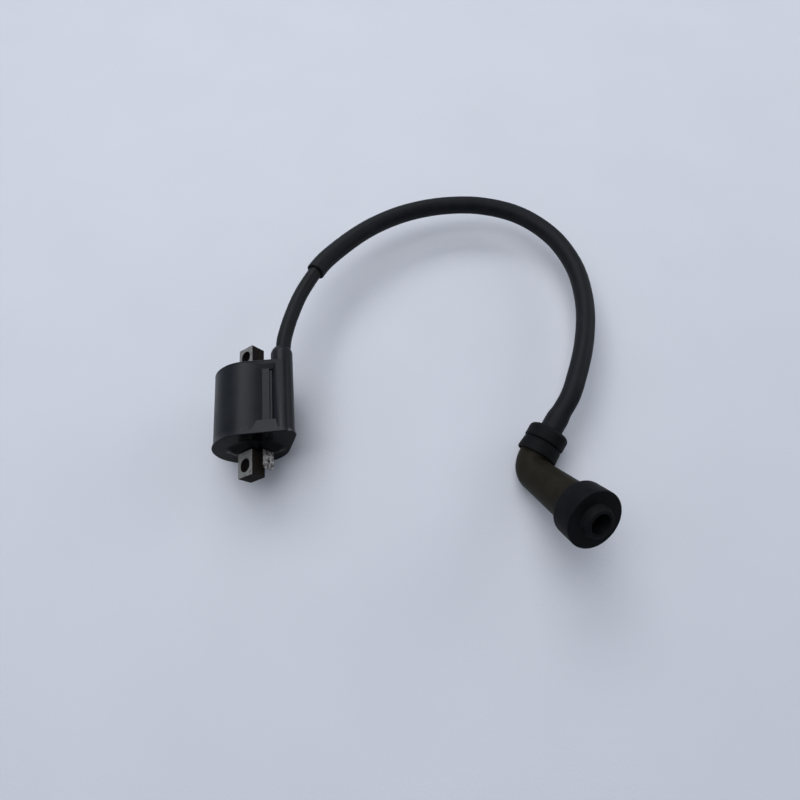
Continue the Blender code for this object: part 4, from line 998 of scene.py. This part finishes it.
class MakeCore(bpy.types.Operator):
    """Core bar: a stack of stamped plates with a slotted bolt hole at each end"""
    bl_idname = "ignition_coil.make_core"
    bl_label = "Core bar"

    def execute(self, context):
        look = context.scene.coil_look
        shape = bmesh.new()
        half_width, half_length = CORE_HIGH.x, CORE_HIGH.y
        signs = ((-1, -1), (1, -1), (1, 1), (-1, 1))
        corners = [shape.verts.new((x * half_width, y * half_length, 0.0)) for x, y in signs]
        for pair in zip(corners, corners[1:] + corners[:1]):
            shape.edges.new(pair)
        straight = (look.hole_length - look.hole_width) / 2
        for sign in (-1, 1):
            centre = sign * (half_length - look.hole_setback)
            hole = bmesh.ops.create_circle(shape, segments=40, radius=look.hole_width / 2)["verts"]
            for vert in hole:
                vert.co.y += centre + math.copysign(straight, vert.co.y)
        bmesh.ops.triangle_fill(shape, edges=shape.edges[:], use_beauty=True)
        plates = round((CORE_HIGH.z - CORE_LOW.z) / look.plate)
        pitch = (CORE_HIGH.z - CORE_LOW.z) / plates
        raise_faces(shape, shape.faces[:], (0.0, 0.0, pitch - look.plate_gap))
        clean(shape)
        rims = [e for e in shape.edges if len(e.link_faces) == 2 and e.calc_face_angle() > PLATE_CORNER]
        rims = [e for e in rims if abs(e.verts[0].co.z - e.verts[1].co.z) < SAME]
        round_edges(shape, rims, PLATE_ROUND, 2)
        pattern = shape.verts[:] + shape.edges[:] + shape.faces[:]
        stack = [pattern] + [bmesh.ops.duplicate(shape, geom=pattern)["geom"] for _ in range(1, plates)]
        uneven = random.Random(5)
        for level, part in enumerate(stack):
            shift = [uneven.uniform(-1, 1) * look.plate_shift for _ in range(2)]
            height = CORE_LOW.z + level * pitch + look.plate_gap / 2
            verts = [item for item in part if isinstance(item, bmesh.types.BMVert)]
            bmesh.ops.translate(shape, verts=verts, vec=(*shift, height))
        shape.normal_update()
        for side in shape.faces:
            outer = abs(abs(side.calc_center_median().z) - CORE_HIGH.z) < FACE_DEPTH
            side.material_index = 0 if outer and abs(side.normal.z) > LEVEL_SHARE else 1
        bmesh.ops.transform(shape, matrix=COIL, verts=shape.verts)
        bar = to_object("core_bar", shape, [worn_steel(look), sheared_edge(look)])
        dress(bar, COIL_BODY, "core_steel", "laminated_core")
        return {"FINISHED"}


TAB_ROUND = 0.14 * MM


class MakeTab(bpy.types.Operator):
    """Tinned tab with a chamfered tip and a latching hole"""
    bl_idname = "ignition_coil.make_tab"
    bl_label = "Tab"

    def execute(self, context):
        look = context.scene.coil_look
        low, high = BLADE_LOW, BLADE_HIGH
        tip, root, point = low.y, high.y, look.blade_point
        shape = bmesh.new()
        outline = [(root, low.z), (tip + point, low.z), (tip, low.z + point),
                   (tip, high.z - point), (tip + point, high.z), (root, high.z)]
        base = shape.faces.new([shape.verts.new((low.x, y, z)) for y, z in outline])
        raise_faces(shape, [base], (high.x - low.x, 0.0, 0.0))
        bmesh.ops.recalc_face_normals(shape, faces=shape.faces)
        round_edges(shape, shape.edges[:], TAB_ROUND, 2)
        bmesh.ops.transform(shape, matrix=COIL, verts=shape.verts)
        centre = Matrix.Translation((0.0, tip + look.blade_hole_setback, (low.z + high.z) / 2))
        across = COIL @ centre @ Matrix.Rotation(math.pi / 2, 4, "Y")
        drill = rod(look.blade_hole / 2, 0.0, 2 * high.x, across, 32)
        tab = carved("tab", shape, [], [drill], [tinned_brass(look)])
        dress(tab, COIL_BODY, "tinned_blade", "blade_terminal")
        return {"FINISHED"}


BEND_STEPS = 20
SHOULDER = 0.3 * MM  # length in which the plug leg narrows to the spigot
# Pockets for the head and the shank of the screw: radius, and start and end from the elbow
SCREW_POCKETS = ((2.6 * MM, 2.3 * MM, 4.3 * MM), (1.6 * MM, 2.6 * MM, 6.5 * MM))


class MakeElbow(bpy.types.Operator):
    """Hollow phenolic elbow of the cap"""
    bl_idname = "ignition_coil.make_elbow"
    bl_label = "Elbow"

    def execute(self, context):
        look, lead = context.scene.cap_look, context.scene.lead_look
        angle = CABLE_AXIS.angle(PLUG_AXIS)
        setback = look.bend / math.tan(angle / 2)
        pivot = ELBOW + (CABLE_AXIS + PLUG_AXIS).normalized() * (look.bend / math.sin(angle / 2))
        start = ELBOW + CABLE_AXIS * setback - pivot
        points = [(ELBOW + CABLE_AXIS * look.cable_length, look.cable_radius)]
        for step in range(BEND_STEPS + 1):
            turn = Matrix.Rotation((math.pi - angle) * step / BEND_STEPS, 3, HINGE)
            points.append((pivot + turn @ start, look.cable_radius))
        for share in (0.25, 0.5, 0.75, 1.0):
            height = setback + (look.plug_shoulder - setback) * share
            radius = look.cable_radius + (look.plug_radius - look.cable_radius) * share
            points.append((ELBOW + PLUG_AXIS * height, radius))
        for height in (look.plug_shoulder + SHOULDER, look.plug_length):
            points.append((ELBOW + PLUG_AXIS * height, look.spigot_radius))
        path = [point for point, _ in points]
        rings = [(place, radius, 0.0) for place, (_, radius) in zip(stations(path), points)]
        bores = [rod(lead.diameter / 2 + CLEARANCE, lead.stop - CLEARANCE, 2 * look.cable_length, CABLE_LEG),
                 *[rod(*pocket, CABLE_LEG) for pocket in SCREW_POCKETS],
                 rod(look.stem_bore, -CLEARANCE, look.chamber_floor + CLEARANCE, PLUG_LEG),
                 rod(look.chamber_radius, look.chamber_floor, 2 * look.plug_length, PLUG_LEG)]
        elbow = carved("elbow", sweep(rings, 64), [], bores, [moulded_phenolic(look)])
        dress(elbow, CAP_BODY, "cap_phenolic", "cap_body")
        return {"FINISHED"}


FUNNEL_DEPTH = 3.0 * MM  # of the seal's widened mouth
FUNNEL_WIDTH = 0.8 * MM
BEAD = 0.4 * MM  # how far the seal's rim stands out
BOOT_FRONT = 2.0 * MM  # thickness of the boot's front wall
THROAT = 7.0 * MM  # radius of the boot's hollow behind it


class MakeRubber(bpy.types.Operator):
    """Seal over the lead's end of the elbow and boot over the plug's end"""
    bl_idname = "ignition_coil.make_rubber"
    bl_label = "Seal and boot"

    def execute(self, context):
        look, lead = context.scene.cap_look, context.scene.lead_look
        rubber = moulded_rubber(look)
        inner, bore = look.cable_radius + CLEARANCE, lead.diameter / 2 + CLEARANCE
        outer, floor = look.seal_radius, look.seal_radius - look.groove_depth
        crown = outer + look.groove_depth / 2
        low, high = look.seal_groove - look.groove_width / 2, look.seal_groove + look.groove_width / 2
        rim, end, nose = look.seal_rim, look.seal_end, look.nose_radius
        nose_end = end + look.nose_length
        shelf = look.cable_length + CLEARANCE
        seal = [(inner, rim + FUNNEL_DEPTH, 0.3 * MM), (inner + FUNNEL_WIDTH, rim, 0.2 * MM),
                (outer + BEAD, rim, 0.35 * MM), (outer, low, 0.5 * MM),
                (floor, low, 0.2 * MM), (floor, high, 0.2 * MM),
                (crown, high, 0.7 * MM), (crown, end, 2.2 * MM),
                (nose, end, 0.3 * MM), (nose, nose_end, 0.15 * MM),
                (bore, nose_end, 0.0), (bore, shelf, 0.0), (inner, shelf, 0.0)]

        grip, mouth = look.spigot_radius + CLEARANCE, look.mouth_radius
        foot = look.collar_radius + look.collar_taper
        face = look.boot_face
        tip, back = face + look.collar_height, face - BOOT_FRONT
        seat = look.plug_length + CLEARANCE
        boot = [(grip, look.boot_start, 0.15 * MM), (look.boot_radius, look.boot_start, look.boot_round),
                (look.boot_face_radius, face, 0.7 * MM), (foot, face, 0.5 * MM),
                (look.collar_radius, tip, 0.6 * MM), (mouth, tip, 0.5 * MM),
                (mouth, back, 0.0), (THROAT, back, 0.0), (THROAT, seat, 0.0), (grip, seat, 0.0)]
        pieces = (("seal", seal, CABLE_LEG, "cable_seal"), ("boot", boot, PLUG_LEG, "plug_boot"))
        for name, profile, leg, solid in pieces:
            piece = to_object(name, turned(profile, leg, 96, 5), [rubber])
            dress(piece, CAP_BODY, "moulded_rubber", solid)
        return {"FINISHED"}


class FinishInside(bpy.types.Operator):
    """Finish of the solids that are closed in: windings, bobbins and contacts"""
    bl_idname = "ignition_coil.finish_inside"
    bl_label = "Inner pieces"

    def execute(self, context):
        copper = wound_copper()
        # Natural nylon, moulded: creamy and dull
        nylon = inner_material("moulded natural nylon", "DDD2B6", 0.0, 0.42, 3.0)
        # Brass, turned: yellow with fine tool marks
        brass = inner_material("turned brass", "C9A45C", 1.0, 0.28, 0.4)
        # Steel, zinc plated: bluish silver with a slight cloud
        zinc = inner_material("zinc plated steel", "B9BCBF", 1.0, 0.3, 1.5)
        # Ceramic, fired: off-white and smooth
        ceramic = inner_material("fired ceramic", "D8CFBE", 0.0, 0.35, 1.0)
        finishes = {"winding": copper, "bobbin": nylon, "earth_plate": brass, "high_tension": brass,
                    "socket": brass, "screw": zinc, "spring": zinc, "clip": zinc, "resistor": ceramic}
        for name, solid in NODES.items():
            if solid.hide_render:
                continue
            found = [finish for word, finish in finishes.items() if word in name]
            if len(found) != 1:
                raise RuntimeError(f"{name} has no finish")
            solid.data.materials.clear()
            solid.data.materials.append(found[0])
        return {"FINISHED"}


class DeclareCord(bpy.types.Operator):
    """Work out the lead's path and the pieces on it; nothing is done with them"""
    bl_idname = "ignition_coil.declare_cord"
    bl_label = "Cord facts"

    def execute(self, context):
        path = lead_path(context.scene)
        pieces = [bpy.data.objects[name] for name in ("sleeve", "elbow", "seal", "boot")]
        carried = [NODES[name] for name in frame["record"]["physics"]["cord_nodes"]]
        pieces += [solid for solid in carried if not solid.hide_render]
        return {"FINISHED"}


class DressingPanel(bpy.types.Panel):
    """Sizes, colours and pieces of the ignition coil"""
    bl_idname = "IGNITION_COIL_PT_dressing"
    bl_label = "Ignition Coil"
    bl_space_type = "VIEW_3D"
    bl_region_type = "UI"
    bl_category = "Ignition Coil"

    def draw(self, context):
        for maker in MAKERS:
            self.layout.operator(maker.bl_idname)
        for name, group in LOOKS.items():
            box = self.layout.box()
            box.label(text=group.__doc__)
            for setting in group.__annotations__:
                box.prop(getattr(context.scene, name), setting)


LOOKS = {"stage_look": StageLook, "coil_look": CoilLook, "lead_look": LeadLook, "cap_look": CapLook}
MAKERS = (MakeStage, MakeLead, MakeHousing, MakeResin, MakeCore, MakeTab, MakeElbow, MakeRubber,
          FinishInside, DeclareCord)


def register():
    for name, group in LOOKS.items():
        bpy.utils.register_class(group)
        setattr(bpy.types.Scene, name, PointerProperty(type=group))
    for kind in (*MAKERS, DressingPanel):
        bpy.utils.register_class(kind)


def unregister():
    for kind in (DressingPanel, *reversed(MAKERS)):
        bpy.utils.unregister_class(kind)
    for name, group in LOOKS.items():
        delattr(bpy.types.Scene, name)
        bpy.utils.unregister_class(group)


def main():
    register()
    bpy.ops.ignition_coil.make_stage()
    bpy.ops.ignition_coil.make_lead()
    bpy.ops.ignition_coil.make_housing()
    bpy.ops.ignition_coil.make_resin()
    bpy.ops.ignition_coil.make_core()
    bpy.ops.ignition_coil.make_tab()
    bpy.ops.ignition_coil.make_elbow()
    bpy.ops.ignition_coil.make_rubber()
    bpy.ops.ignition_coil.finish_inside()
    bpy.ops.ignition_coil.declare_cord()


if __name__ == "__main__":
    main()
